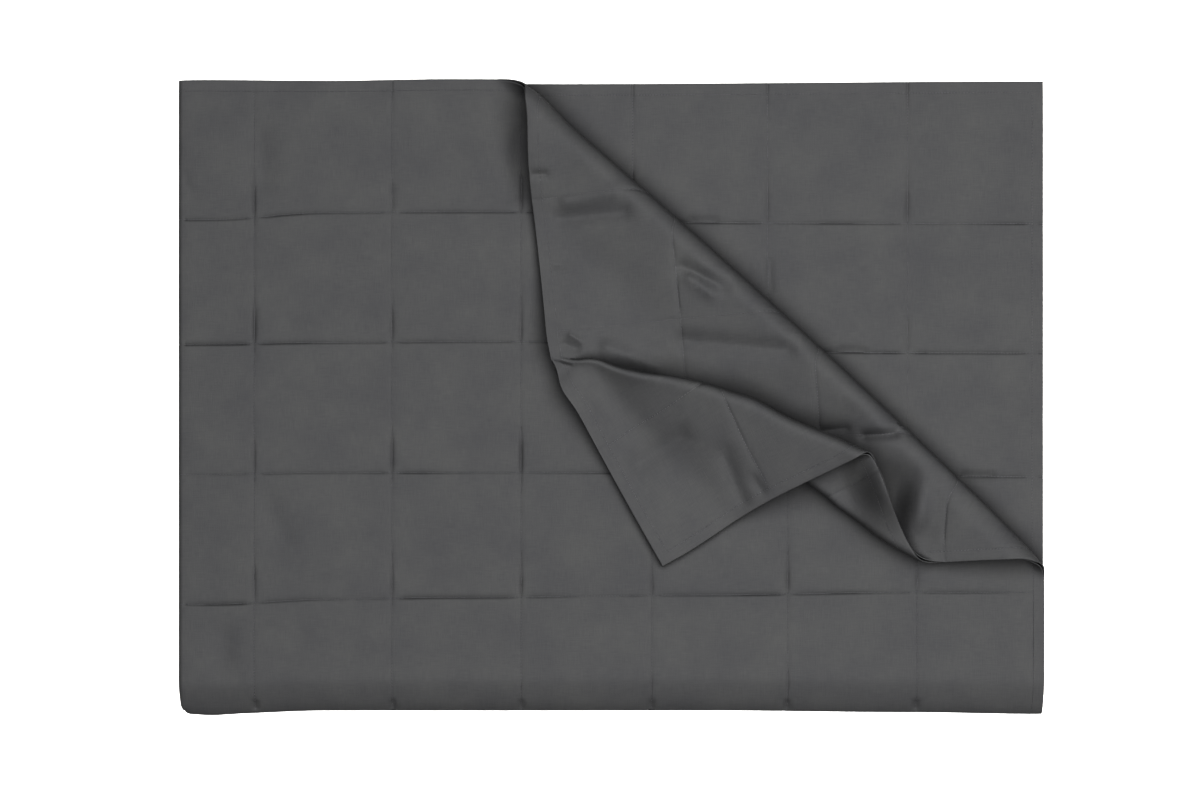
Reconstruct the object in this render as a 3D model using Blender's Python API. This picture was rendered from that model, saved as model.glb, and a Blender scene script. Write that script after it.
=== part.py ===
"""Weighted blanket, folded in four and laid flat, with one corner of the top layer turned back.

Two cloths with a thin filling between them, sewn together in square pockets. Metres, +Z up.

The blanket is modelled as the flat sheet that a maker sews, in sheet coordinates: u runs along
its length from the first fold and v along its width from the second. Each point of the sheet is
then carried to where it lies in the folded blanket:

    layer 1, on top      u > 0, v > 0, its far corner turned back over it in a roll and a pleat
    layer 2              u < 0, v > 0
    layer 3              u < 0, v < 0
    layer 4, underneath  u > 0, v < 0
"""

from functools import partial
from math import cos, pi, radians, sin

import bmesh
import bpy
import numpy as np

NAME = "quilted_blanket"
COLLECTION = "weighted_blanket"
CLOTH_COLOUR = (0.094, 0.094, 0.099, 1.0)
CLOTH_ROUGHNESS = 0.82

# Thicknesses
POCKET = 0.0055  # over a filled pocket
SEAM = 0.0022  # where the two cloths are sewn together
HEM = 0.0025  # at the turned-in edge
SHOULDER = 0.020  # from a seam to where its pocket is full
BEND_POCKET = 0.0044  # the filling is pressed thinner inside the tight folds
PRESSED = 0.42  # and by this share where the pleat starts
PRESSED_REACH = 0.13  # it is pressed this far around the pleat's start

# The stack of layers
PITCH = 0.0065  # from the middle of one layer to the middle of the next
LAYER_BEND = PITCH / 2  # radius of the first fold, which joins the layers in pairs
PACK_BEND = PITCH  # radius of the second fold, round which each pair bends
FOLD_X = -0.4930  # where the first fold's bend is centred
FOLD_Y = -0.3498  # where the second fold's bend is centred
BEND_STEPS = 6  # facets round either fold
BEND_REACH = 1.2  # the filling is thinner a little past the first fold's bend

# Sewn lines, as distances from the folds, out to the hem
COLUMNS_ABOVE = (0.0872, 0.2461, 0.3950, 0.5459, 0.7028, 0.8517, 0.9964)
COLUMNS_BELOW = (0.0657, 0.2186, 0.3715, 0.5240, 0.6796, 0.8417, 0.9915)
ROWS_ABOVE = (0.1275, 0.2716, 0.4226, 0.5714, 0.7243)
ROWS_BELOW = (pi * PACK_BEND / 2, 0.1525, 0.2945, 0.4365, 0.5785, 0.7205)

# How far the rows wander from straight lines, in millimetres up the blanket's width.
# One line for each place along u, with one value for each place along v.
DRIFT_V = (-0.60, -0.20, 0.0, 0.1275, 0.2716, 0.4226, 0.5714, 0.7243)
DRIFT = {
    -0.99: (0, 0, -4, -5, -5, -13, -12, -1),
    -0.45: (0, 0, 0, -4, -5, -11, -11, -4),
    -0.16: (0, 0, 0, -6, -4, -7, -9, -3),
    0.04: (0, 0, -4, -8, -2, -3, -8, 0),
    0.17: (0, 0, 0, -2, 0, -1, 0, -1),
    0.32: (0, 0, 0, 0, 0, 0, 1, 1),
    0.62: (0, 0, 0, 3, 0, 0, 0, 0),
    0.85: (0, 0, -2, 6, 0, 0, 0, 0),
    0.99: (0, 0, -4, 6, 0, 0, 0, 0),
}

# The roll where the corner turns back: a line from the top edge down to the right
ROLL_START = np.array((-0.1025, 0.3543))
ROLL_FALL = radians(42.4)
ROLL_LENGTH = 0.8045
ROLL_RADIUS = 0.013
ROLL_BOW = 0.0115  # the roll bulges this far in its middle
ROLL_BOW_POWER = 0.6
OVERTURN = radians(13)  # it turns past half a turn, so that the corner settles on the layer below
SETTLE_RADIUS = 0.12
REST = PITCH + 0.0008  # the turned corner's height over the layer that it lies on
CORNER = (0.4995, 0.3649)  # where the turned corner would lie if it weren't turned
FLAP_SLIP = np.array((-0.0085, 0.0035))  # how far the corner was pulled after it was turned
SLIP_FROM = 1.5 * ROLL_RADIUS  # the pull takes hold over the roll's lower half
SLIP_OVER = 1.6 * ROLL_RADIUS
ALONG = np.array((cos(ROLL_FALL), -sin(ROLL_FALL)))
ACROSS = np.array((sin(ROLL_FALL), cos(ROLL_FALL)))

# The pleat in the turned corner: it starts at the corner's left edge and grows to the right
PLEAT_START = np.array((-0.0724, 0.0438))
PLEAT_ANGLE = radians(23.8)  # how far the tip has swung round the pleat's start
PLEAT_TURN = radians(168)  # how far the cloth turns at the pleat's hollow and crest
PLEAT_PANEL = 0.05  # length of flat cloth inside the pleat for each radian of depth past its turn
PLEAT_SOFTNESS = 12  # the slope comes to rest on a curve this many bends in radius
PLEAT_TIP_STRETCH = 0.04  # the tip reaches this much further out
PLEAT_TIP = (radians(50), radians(80))  # over these bearings
PLEAT_FORMED = 0.17  # from here on it is a full fold, and nearer its start a lower ridge
PLEAT_LEAST = 0.1  # share of the swing that is folded up at the very start
PLEAT_ROOT = 0.006  # the fold fades out this near its start
PLEAT_FROM = 2 * ROLL_RADIUS  # the pleat takes hold past the roll
PLEAT_OVER = 0.02
# Along the pleat: distance from its start, bearing of its hollow, slope down from its crest, bend
PLEAT_SHAPE = (
    (0.000, 5.0, 42, 0.0050),
    (0.073, 14.0, 32, 0.0057),
    (0.135, 18.8, 26, 0.0063),
    (0.190, 21.0, 22, 0.0068),
    (0.316, 24.6, 16, 0.0080),
    (0.378, 26.4, 14, 0.0080),
    (0.440, 26.8, 13, 0.0080),
    (0.620, 27.0, 12, 0.0080),
)
# The sheet is cut where the roll bends and settles, past the line where the roll starts
ROLL_CUTS = np.linspace(-ROLL_BOW * 0.2, pi * ROLL_RADIUS + ROLL_BOW, 8)
SETTLE_CUTS = pi * ROLL_RADIUS + np.array((0.04, 0.085))
CUT_MARGIN = 0.03  # faces this far before the roll are still cut
# It is cut where the pleat bends: at these steps of its section, in two stretches
SECTION_STEPS = 24
PLEAT_CUTS = (0, 6, 12, 18, 24, 36, 48, 54, 60, 66, 72, 84, 96, 108, 120)
PLEAT_STRETCHES = ((0.030, 0.085, 0.190), (0.190, 0.200, 0.430))  # from here, through here, to here
PLEAT_BEARINGS = (radians(-5), radians(75))  # the cuts stay between these bearings
# It is also cut across the pleat at these distances from the pleat's start
PLEAT_CROSS_CUTS = (0.025, 0.045, 0.065, 0.085, 0.107, 0.130, 0.160, 0.200, 0.260, 0.320)
CROSS_CUT_REACH = 0.06  # a cross cut goes through faces up to this far beyond it
PLEAT_MIDDLE = radians(30)  # bearing of the middle of the pleated cloth, before it is pleated
MERGE = 0.0015  # points of the flat sheet this near each other are made one
SNAP = 0.0002  # a cut goes through a point that lies this near it
SHARP_ANGLE = radians(35)

# The search for a shape that can't be worked out directly
DEPTH_LIMITS = (0.01, 9.0)  # the least and most depth that a pleat may have
HALVINGS = 40
TRIES = 12
TINY = 1e-6


def smooth(value):
    """A ramp from 0 to 1 with no corners."""
    value = np.clip(value, 0, 1)
    return value * value * (3 - 2 * value)


def drift(u, v):
    """How far the point of the sheet lies from its straight row, in metres."""
    places = np.array(sorted(DRIFT))
    across = np.array(DRIFT_V)
    values = np.array([DRIFT[place] for place in places]) / 1000
    i = np.clip(np.searchsorted(places, u) - 1, 0, len(places) - 2)
    j = np.clip(np.searchsorted(across, v) - 1, 0, len(across) - 2)
    share_u = smooth((u - places[i]) / (places[i + 1] - places[i]))
    share_v = smooth((v - across[j]) / (across[j + 1] - across[j]))
    low = values[i, j] * (1 - share_u) + values[i + 1, j] * share_u
    high = values[i, j + 1] * (1 - share_u) + values[i + 1, j + 1] * share_u
    return low * (1 - share_v) + high * share_v


def section(pieces, steps=SECTION_STEPS):
    """A bent strip seen from its end: arc length, distance and height, from (length, end angle)."""
    lengths, angles = [], [0.0]
    for length, end in pieces:
        start = angles[-1]
        lengths += [length / steps] * steps
        angles += [start + (end - start) * (k + 1) / steps for k in range(steps)]
    lengths = np.array(lengths)
    middle = (np.array(angles[1:]) + np.array(angles[:-1])) / 2
    return [np.concatenate(([0], np.cumsum(part))) for part in
            (lengths, lengths * np.cos(middle), lengths * np.sin(middle))]


def roll_section():
    """The roll: over and a little past half a turn, down a slope, and level again."""
    top = ROLL_RADIUS * (1 + cos(OVERTURN))
    run = (top - REST - SETTLE_RADIUS * (1 - cos(OVERTURN))) / sin(OVERTURN)
    full = pi + OVERTURN
    return section([(ROLL_RADIUS * full, full), (run, full), (SETTLE_RADIUS * OVERTURN, pi), (1.5, pi)])


def pleat_section(distance):
    """The pleat at this distance from its start: arc length, distance round and height.

    The cloth turns up and back at the hollow, forward again at the crest, and slopes down to
    rest. The pleat is as deep as it takes for the cloth beyond it to swing by PLEAT_ANGLE.
    """
    table = np.array(PLEAT_SHAPE)
    hollow, slope, bend = (np.interp(distance, table[:, 0], table[:, k]) for k in (1, 2, 3))

    def pieces(depth):
        turn, panel = min(depth, PLEAT_TURN), max(0.0, depth - PLEAT_TURN) * PLEAT_PANEL
        down = min(radians(slope), turn)
        rise = bend * (1 - cos(turn)) + panel * sin(turn) + bend * (cos(down) - cos(turn))
        level = min(PLEAT_SOFTNESS * bend, rise / (1 - cos(down)))
        run = (rise - level * (1 - cos(down))) / sin(down)
        return [(bend * turn, turn), (panel, turn), (bend * (turn + down), -down), (run, -down),
                (level * down, 0.0)]

    wanted = PLEAT_ANGLE * distance
    folded = wanted * np.interp(distance, (0, PLEAT_FORMED), (PLEAT_LEAST, 1))
    low, high = DEPTH_LIMITS
    for _ in range(HALVINGS):
        middle = (low + high) / 2
        arc, run, _ = section(pieces(middle))
        low, high = (middle, high) if arc[-1] - run[-1] < folded else (low, middle)
    arc, run, height = section(pieces(low))
    missing = wanted - (arc[-1] - run[-1])
    run = run - missing * smooth(arc / arc[-1])
    start = distance * radians(hollow) - bend
    return start + arc, start + run, height


class Pleat:
    """The pleat's sections, worked out once and looked up for any point."""

    distances = np.linspace(0.002, 0.62, 60)
    arcs = np.linspace(-1.2, 1.8, 3001)
    turn_back = radians(-150)  # bearings below this are counted on past a half turn instead

    def __init__(self):
        found = []
        for distance in self.distances:
            arc, run, height = pleat_section(distance)
            past = np.where(self.arcs > arc[-1], run[-1] + self.arcs - arc[-1], self.arcs)
            inside = (self.arcs >= arc[0]) & (self.arcs <= arc[-1])
            found.append((np.where(inside, np.interp(self.arcs, arc, run), past),
                          np.interp(self.arcs, arc, height, left=0, right=0)))
        self.runs, self.heights = (np.array(part) for part in zip(*found))

    def look(self, table, distance, arc):
        """The table's value at this distance and arc length."""
        i, share_i = self.cell(distance, self.distances)
        j, share_j = self.cell(arc, self.arcs)
        near = table[i, j] * (1 - share_j) + table[i, j + 1] * share_j
        far = table[i + 1, j] * (1 - share_j) + table[i + 1, j + 1] * share_j
        return near * (1 - share_i) + far * share_i

    @staticmethod
    def cell(value, steps):
        """Which two of the even steps the value lies between, and how far along."""
        last = len(steps) - 1 - TINY
        place = np.clip((value - steps[0]) / (steps[1] - steps[0]), 0, last)
        return place.astype(int), place - place.astype(int)

    def bend(self, flat):
        """Points of the flat turned corner, as they lie in the pleat, and how high."""
        away = flat - PLEAT_START
        distance = np.maximum(np.hypot(away[..., 0], away[..., 1]), TINY)
        bearing = np.arctan2(-away[..., 1], away[..., 0])
        bearing = np.where(bearing < self.turn_back, bearing + 2 * pi, bearing)
        arc = distance * bearing
        formed = smooth(distance / PLEAT_ROOT)
        turned = bearing + (self.look(self.runs, distance, arc) / distance - bearing) * formed
        near, far = PLEAT_TIP
        reach = distance * (1 + PLEAT_TIP_STRETCH * smooth((bearing - near) / (far - near)))
        place = PLEAT_START + np.stack((reach * np.cos(turned), -reach * np.sin(turned)), -1)
        return place, self.look(self.heights, distance, arc) * formed


PLEAT = Pleat()
ROLL = roll_section()


def roll_depth(flat):
    """How far a point of the flat top layer lies past the line where the roll starts."""
    away = flat - ROLL_START
    along = np.clip(away @ ALONG / ROLL_LENGTH, 0, 1)
    bow = ROLL_BOW * np.maximum(np.sin(along * pi), 0) ** ROLL_BOW_POWER
    return away @ ACROSS + ROLL_RADIUS + POCKET / 2 - bow


def turned_back(flat):
    """Points of the flat top layer once its corner is turned back, how high, and how far past."""
    depth = roll_depth(flat)
    arc, run, rise = ROLL
    slip = FLAP_SLIP * smooth((depth - SLIP_FROM) / SLIP_OVER)[..., None]
    place = flat + (np.interp(depth, arc, run) - depth)[..., None] * ACROSS + slip
    return place, np.interp(depth, arc, rise), depth


def before_turning(place):
    """The point of the flat top layer that comes to lie at this place of the turned corner."""
    flat = np.array(CORNER)
    for _ in range(TRIES):
        miss = place - turned_back(flat)[0]
        flat = flat + miss - 2 * (miss @ ACROSS) * ACROSS
    return flat


def middle_of(u, v):
    """Where the middle of the cloth lies in the folded blanket, for points u, v of the sheet."""
    bend_u, bend_v = pi * LAYER_BEND / 2, pi * PACK_BEND / 2
    turn_u = np.clip(u, -bend_u, bend_u) / LAYER_BEND
    turn_v = np.clip(v, -bend_v, bend_v) / PACK_BEND
    side = LAYER_BEND * np.sin(turn_u)
    x = FOLD_X - LAYER_BEND * np.cos(turn_u) + np.maximum(np.abs(u) - bend_u, 0)
    y = FOLD_Y - (PACK_BEND + side) * np.cos(turn_v) + np.maximum(np.abs(v) - bend_v, 0)
    z = POCKET / 2 + 1.5 * PITCH + (PACK_BEND + side) * np.sin(turn_v)
    flat = np.stack((x, y + drift(u, v)), -1)

    turned, high, depth = turned_back(flat)
    top_layer = (u > bend_u) & (v > bend_v) & (depth > 0)
    bent, height = PLEAT.bend(turned)
    past = smooth((depth - PLEAT_FROM) / PLEAT_OVER)
    turned = turned + (bent - turned) * past[..., None]
    high = high + height * past
    place = np.where(top_layer[..., None], turned, flat)
    return np.concatenate((place, (z + np.where(top_layer, high, 0))[..., None]), -1)


def normal_of(u, v, step=0.0004):
    """Unit normals of the cloth's upper side, as the sheet lies flat."""
    along = middle_of(u + step, v) - middle_of(u - step, v)
    across = middle_of(u, v + step) - middle_of(u, v - step)
    normal = np.cross(along, across)
    return normal / np.maximum(np.linalg.norm(normal, axis=-1, keepdims=True), TINY ** 2)


def seams():
    """The sewn lines and hems along u and along v, from one hem to the other."""
    return (np.array([-c for c in reversed(COLUMNS_BELOW)] + list(COLUMNS_ABOVE)),
            np.array([-r for r in reversed(ROWS_BELOW)] + list(ROWS_ABOVE)))


def thickness(u, v):
    """From one side of the cloth to the other."""
    lines_u, lines_v = seams()
    full, hem = np.ones_like(u), np.zeros_like(u, dtype=bool)
    for value, lines in ((u, lines_u), (v, lines_v)):
        nearest = np.abs(value[:, None] - lines[None, :]).min(axis=1)
        full = full * np.clip(nearest / SHOULDER, 0, 1)
        hem |= (value < lines[0] + TINY) | (value > lines[-1] - TINY)
    thick = np.where(hem, HEM, SEAM + (POCKET - SEAM) * full)
    bent = np.abs(u) < BEND_REACH * pi * LAYER_BEND / 2
    bent |= (np.abs(v) < pi * PACK_BEND / 2) & (u < 0)
    thick = np.where(bent, np.minimum(thick, BEND_POCKET), thick)
    near = np.hypot(*(sheet_place(u, v) - before_turning(PLEAT_START)).T)
    pressed = np.where((u > 0) & (v > 0), np.exp(-((near / PRESSED_REACH) ** 2)), 0)
    return thick * (1 - PRESSED * pressed)


def sheet_place(u, v):
    """Where the sheet's point would lie if the top layer's corner weren't turned back."""
    return np.stack((FOLD_X + u - pi * LAYER_BEND / 2, FOLD_Y + v - pi * PACK_BEND / 2), -1)


def grid_lines(lines, bend):
    """Sewn lines, the shoulders beside them, and the steps round a fold of this half length."""
    found = set(np.round(lines, 6))
    for low, high in zip(lines[:-1], lines[1:]):
        found |= {round(low + SHOULDER, 6), round(high - SHOULDER, 6)}
    steps = np.linspace(-bend, bend, BEND_STEPS + 1)
    found = {line for line in found if abs(line) > bend + MERGE}
    return np.array(sorted(found | set(np.round(steps, 6))))


def flat_sheet():
    """The sheet as a flat grid, in sheet coordinates, cut where the turned corner bends."""
    lines_u, lines_v = seams()
    lines_u = grid_lines(lines_u, pi * LAYER_BEND / 2)
    lines_v = grid_lines(lines_v, pi * PACK_BEND / 2)
    sheet = bmesh.new()
    bmesh.ops.create_grid(sheet, x_segments=len(lines_u) - 1, y_segments=len(lines_v) - 1, size=0.5)
    for vert in sheet.verts:
        column = round((vert.co.x + 0.5) * (len(lines_u) - 1))
        row = round((vert.co.y + 0.5) * (len(lines_v) - 1))
        vert.co = (lines_u[column], lines_v[row], 0)
    for point, direction, wanted in corner_cuts():
        cut(sheet, point, direction, wanted)
    bmesh.ops.remove_doubles(sheet, verts=sheet.verts, dist=MERGE)
    bmesh.ops.triangulate(sheet, faces=sheet.faces)
    return sheet


def corner_cuts():
    """Lines across the turned corner where it bends: a point, a direction, and which faces."""
    offset = sheet_place(0.0, 0.0)
    for step in (*ROLL_CUTS, *SETTLE_CUTS):
        start = ROLL_START - ACROSS * (ROLL_RADIUS + POCKET / 2 - step) - offset
        yield start, ALONG, lambda place: True
    for low, near, far in PLEAT_STRETCHES:
        arcs = [pleat_section(reach)[0] for reach in (near, far)]
        for step in PLEAT_CUTS:
            ends = [before_turning(PLEAT_START + reach * towards(arc[step] / reach))
                    for reach, arc in zip((near, far), arcs)]
            yield ends[0] - offset, ends[1] - ends[0], partial(in_pleat, low=low, high=far)
    for reach in PLEAT_CROSS_CUTS:
        flat = before_turning(PLEAT_START + reach * towards(PLEAT_MIDDLE))
        out = flat - before_turning(PLEAT_START)
        wanted = partial(in_pleat, low=0, high=reach + CROSS_CUT_REACH)
        yield flat - offset, np.array((-out[1], out[0])), wanted


def towards(bearing):
    """The direction at this bearing, which is measured from +X towards -Y."""
    return np.array((cos(bearing), -sin(bearing)))


def in_pleat(flat, low, high):
    """Whether a point of the flat top layer lies in this stretch of the pleat."""
    away = turned_back(flat)[0] - PLEAT_START
    reach, bearing = np.hypot(*away), np.arctan2(-away[1], away[0])
    outermost = high == PLEAT_STRETCHES[-1][-1]
    least, most = PLEAT_BEARINGS
    return low <= reach and (reach < high or outermost) and least < bearing < most


def cut(sheet, point, direction, wanted):
    """Cuts the top layer's faces along a line, where the faces are wanted."""
    offset = sheet_place(0.0, 0.0)
    faces = []
    for face in sheet.faces:
        middle = face.calc_center_median()
        place = np.array((middle.x, middle.y)) + offset
        if middle.x > 0 and middle.y > 0 and roll_depth(place) > -CUT_MARGIN and wanted(place):
            faces.append(face)
    geometry = set(faces) | {e for f in faces for e in f.edges} | {v for f in faces for v in f.verts}
    bmesh.ops.bisect_plane(
        sheet, geom=list(geometry), dist=SNAP,
        plane_co=(point[0], point[1], 0), plane_no=(-direction[1], direction[0], 0))


def fold_sheet(sheet):
    """Gives the flat sheet its second side and carries both sides to where they lie."""
    lower = list(sheet.verts)
    made = bmesh.ops.extrude_face_region(sheet, geom=list(sheet.faces))
    upper = [item for item in made["geom"] if isinstance(item, bmesh.types.BMVert)]
    for verts, side in ((lower, -0.5), (upper, 0.5)):
        u, v = np.array([vert.co.xy for vert in verts]).T
        places = middle_of(u, v) + normal_of(u, v) * (side * thickness(u, v))[:, None]
        places[:, 2] = np.maximum(places[:, 2], 0)
        for vert, place in zip(verts, places):
            vert.co = place
    bmesh.ops.recalc_face_normals(sheet, faces=sheet.faces)


def cloth_material():
    """Charcoal cotton."""
    material = bpy.data.materials.new("charcoal_cotton")
    material.use_nodes = True
    shader = material.node_tree.nodes["Principled BSDF"]
    shader.inputs["Base Color"].default_value = CLOTH_COLOUR
    shader.inputs["Roughness"].default_value = CLOTH_ROUGHNESS
    shader.inputs["Metallic"].default_value = 0.0
    return material


def main():
    """Builds the blanket in its own collection."""
    for old in list(bpy.data.objects):
        bpy.data.objects.remove(old)
    collection = bpy.data.collections.new(COLLECTION)
    bpy.context.scene.collection.children.link(collection)
    sheet = flat_sheet()
    fold_sheet(sheet)
    mesh = bpy.data.meshes.new(NAME)
    sheet.to_mesh(mesh)
    sheet.free()
    mesh.materials.append(cloth_material())
    mesh.shade_smooth()
    mesh.set_sharp_from_angle(angle=SHARP_ANGLE)
    collection.objects.link(bpy.data.objects.new(NAME, mesh))


if __name__ == "__main__":
    main()
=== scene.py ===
"""Looks of a plain charcoal weighted blanket, folded in four, with one corner turned back.

The blanket is two cotton sateen cloths, sewn together in square pockets. Both are shaped here as
the flat sheet that a maker sews, and each point of it is carried to where it lies once the blanket
is folded. Sheet coordinates: u runs along the blanket from its first fold, v along its width from
its second fold. Metres, +Z up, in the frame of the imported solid.
"""

import logging
from dataclasses import dataclass, field
from enum import Enum
from functools import cached_property
from math import cos, pi, radians, sin
from typing import Sequence

import bmesh
import bpy
import numpy as np
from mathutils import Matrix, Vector


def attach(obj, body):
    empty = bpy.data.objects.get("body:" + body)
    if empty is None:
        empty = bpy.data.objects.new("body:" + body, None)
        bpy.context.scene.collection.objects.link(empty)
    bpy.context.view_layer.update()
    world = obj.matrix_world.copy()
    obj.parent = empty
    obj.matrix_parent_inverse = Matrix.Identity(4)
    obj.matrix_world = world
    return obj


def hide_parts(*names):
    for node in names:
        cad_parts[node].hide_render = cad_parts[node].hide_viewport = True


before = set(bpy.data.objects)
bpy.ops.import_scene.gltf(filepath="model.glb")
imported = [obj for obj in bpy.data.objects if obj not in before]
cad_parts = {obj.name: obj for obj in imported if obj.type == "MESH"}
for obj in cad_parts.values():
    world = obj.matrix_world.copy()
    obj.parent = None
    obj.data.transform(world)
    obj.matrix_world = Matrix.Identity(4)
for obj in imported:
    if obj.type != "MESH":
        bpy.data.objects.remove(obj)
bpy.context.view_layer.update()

NODE = "quilted_blanket"
BODY = "root"
PLACE_ATTRIBUTE = "sheet_place"
LAYERS = 4
INSIDE = 0.001  # keeps the last place of a table inside its last cell
TINY = 1e-9

log = logging.getLogger("weighted_blanket")
Array = np.ndarray


class Side(Enum):
    """The two cloths of the blanket, and which way each faces from the middle of the quilt."""

    FRONT = 1.0
    BACK = -1.0


class Layer(Enum):
    """Where a crease lies: the flat top layer, the turned corner, its tip, or the layer below."""

    TOP = "top"
    CORNER = "corner"
    TIP = "tip"
    SECOND = "second"


def smooth(value: Array) -> Array:
    """A ramp from 0 to 1 with no corners."""
    value = np.clip(value, 0, 1)
    return value * value * (3 - 2 * value)


def millimetres(value: float | Array) -> float | Array:
    """Millimetres as metres."""
    return value / 1000


@dataclass(frozen=True)
class SoftNoise:
    """Smooth random heights over the sheet.

    Attributes:
        wavelength: distance between two random heights, in metres.
        height: the largest height, in metres.
        seed: which of the random fields it is.
        reach: how far from the folds the heights go.
        slant: how far their rows lean from the blanket's, so that none runs along a seam.
        spare: heights past the reach, so that its last places lie between two as well.
    """

    wavelength: float
    height: float
    seed: int
    reach: float = 1.7
    slant: float = 0.45
    spare: int = 3

    @cached_property
    def table(self) -> Array:
        """The random heights, one for each cell corner."""
        cells = int(2 * self.reach / self.wavelength) + self.spare
        return np.random.default_rng(self.seed).uniform(-1, 1, (cells, cells))

    def at(self, u: Array, v: Array) -> Array:
        """Reads the heights.

        Args:
            u: places along the sheet.
            v: places across it.

        Returns:
            The height at each point.
        """
        x = (u + self.slant * v + self.reach) / self.wavelength
        y = (v - self.slant * u + self.reach) / self.wavelength
        i, j = np.floor(x).astype(int), np.floor(y).astype(int)
        a, b = smooth(x - i), smooth(y - j)
        near = self.table[i, j] * (1 - b) + self.table[i, j + 1] * b
        far = self.table[i + 1, j] * (1 - b) + self.table[i + 1, j + 1] * b
        return self.height * (near * (1 - a) + far * a)


@dataclass(frozen=True)
class LayerStack:
    """The thickness of the quilt, and how its four layers lie on each other.

    Attributes:
        pocket: thickness over a filled pocket.
        bend_pocket: the same where the cloth is drawn tight round a fold.
        pitch: from the middle of one layer to the middle of the next.
        fold_x: where the first fold's bend is centred.
        fold_y: where the second fold's bend is centred.
        corner_radius: how round the corner between the two folds is, seen from above.
        squeeze: how much flatter the pack of layers is at its second fold.
        squeeze_reach: how far from the fold's outside that starts.
        squeeze_power: how soon it tails off.
    """

    pocket: float = 0.0055
    bend_pocket: float = 0.0044
    pitch: float = 0.0065
    fold_x: float = -0.4930
    fold_y: float = -0.3498
    corner_radius: float = 0.010
    squeeze: float = 0.62
    squeeze_reach: float = 0.036
    squeeze_power: float = 1.285

    @property
    def layer_bend(self) -> float:
        """Radius of the first fold, which joins the layers in pairs."""
        return self.pitch / 2

    @property
    def pack_bend(self) -> float:
        """Radius of the second fold, round which each pair bends."""
        return self.pitch

    @property
    def front_edge(self) -> float:
        """The y of the second fold's outside."""
        return self.fold_y - self.pack_bend - self.layer_bend

    @property
    def middle_height(self) -> float:
        """Height of the middle of the pack of layers."""
        return self.pocket / 2 + (LAYERS - 1) / 2 * self.pitch

    @property
    def half_fold_u(self) -> float:
        """Half the cloth's length round the first fold."""
        return pi * self.layer_bend / 2

    @property
    def half_fold_v(self) -> float:
        """Half the cloth's length round the second fold."""
        return pi * self.pack_bend / 2

    def fold(self, u: Array, v: Array) -> Array:
        """Folds the sheet in four.

        Args:
            u: places along the sheet.
            v: places across it.

        Returns:
            The middle of the quilt in the folded blanket, an x, y and z for each point.
        """
        turn_u = np.clip(u, -self.half_fold_u, self.half_fold_u) / self.layer_bend
        turn_v = np.clip(v, -self.half_fold_v, self.half_fold_v) / self.pack_bend
        bend = self.pack_bend + self.layer_bend * np.sin(turn_u)
        past_u = np.maximum(np.abs(u) - self.half_fold_u, 0)
        past_v = np.maximum(np.abs(v) - self.half_fold_v, 0)
        x = self.fold_x - self.layer_bend * np.cos(turn_u) + past_u
        y = self.fold_y - bend * np.cos(turn_v) + past_v
        z = self.middle_height + bend * np.sin(turn_v)
        left, radius = self.fold_x - self.layer_bend, self.corner_radius
        in_x = np.maximum(left + radius - x, 0)
        in_y = np.maximum(self.front_edge + radius - y, 0)
        share = np.maximum(in_x, in_y) / np.maximum(np.hypot(in_x, in_y), TINY)
        share = np.where((in_x > 0) & (in_y > 0), share, 1)
        x, y = x + in_x * (1 - share), y + in_y * (1 - share)
        return np.stack((x, y, z * self.flatness(y)), -1)

    def flatness(self, y: Array) -> Array:
        """How flat the pack of layers is pressed at each y, as a share of its full height."""
        near = 1 - np.clip((y - self.front_edge) / self.squeeze_reach, 0, 1)
        return 1 - self.squeeze * near ** self.squeeze_power


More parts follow.
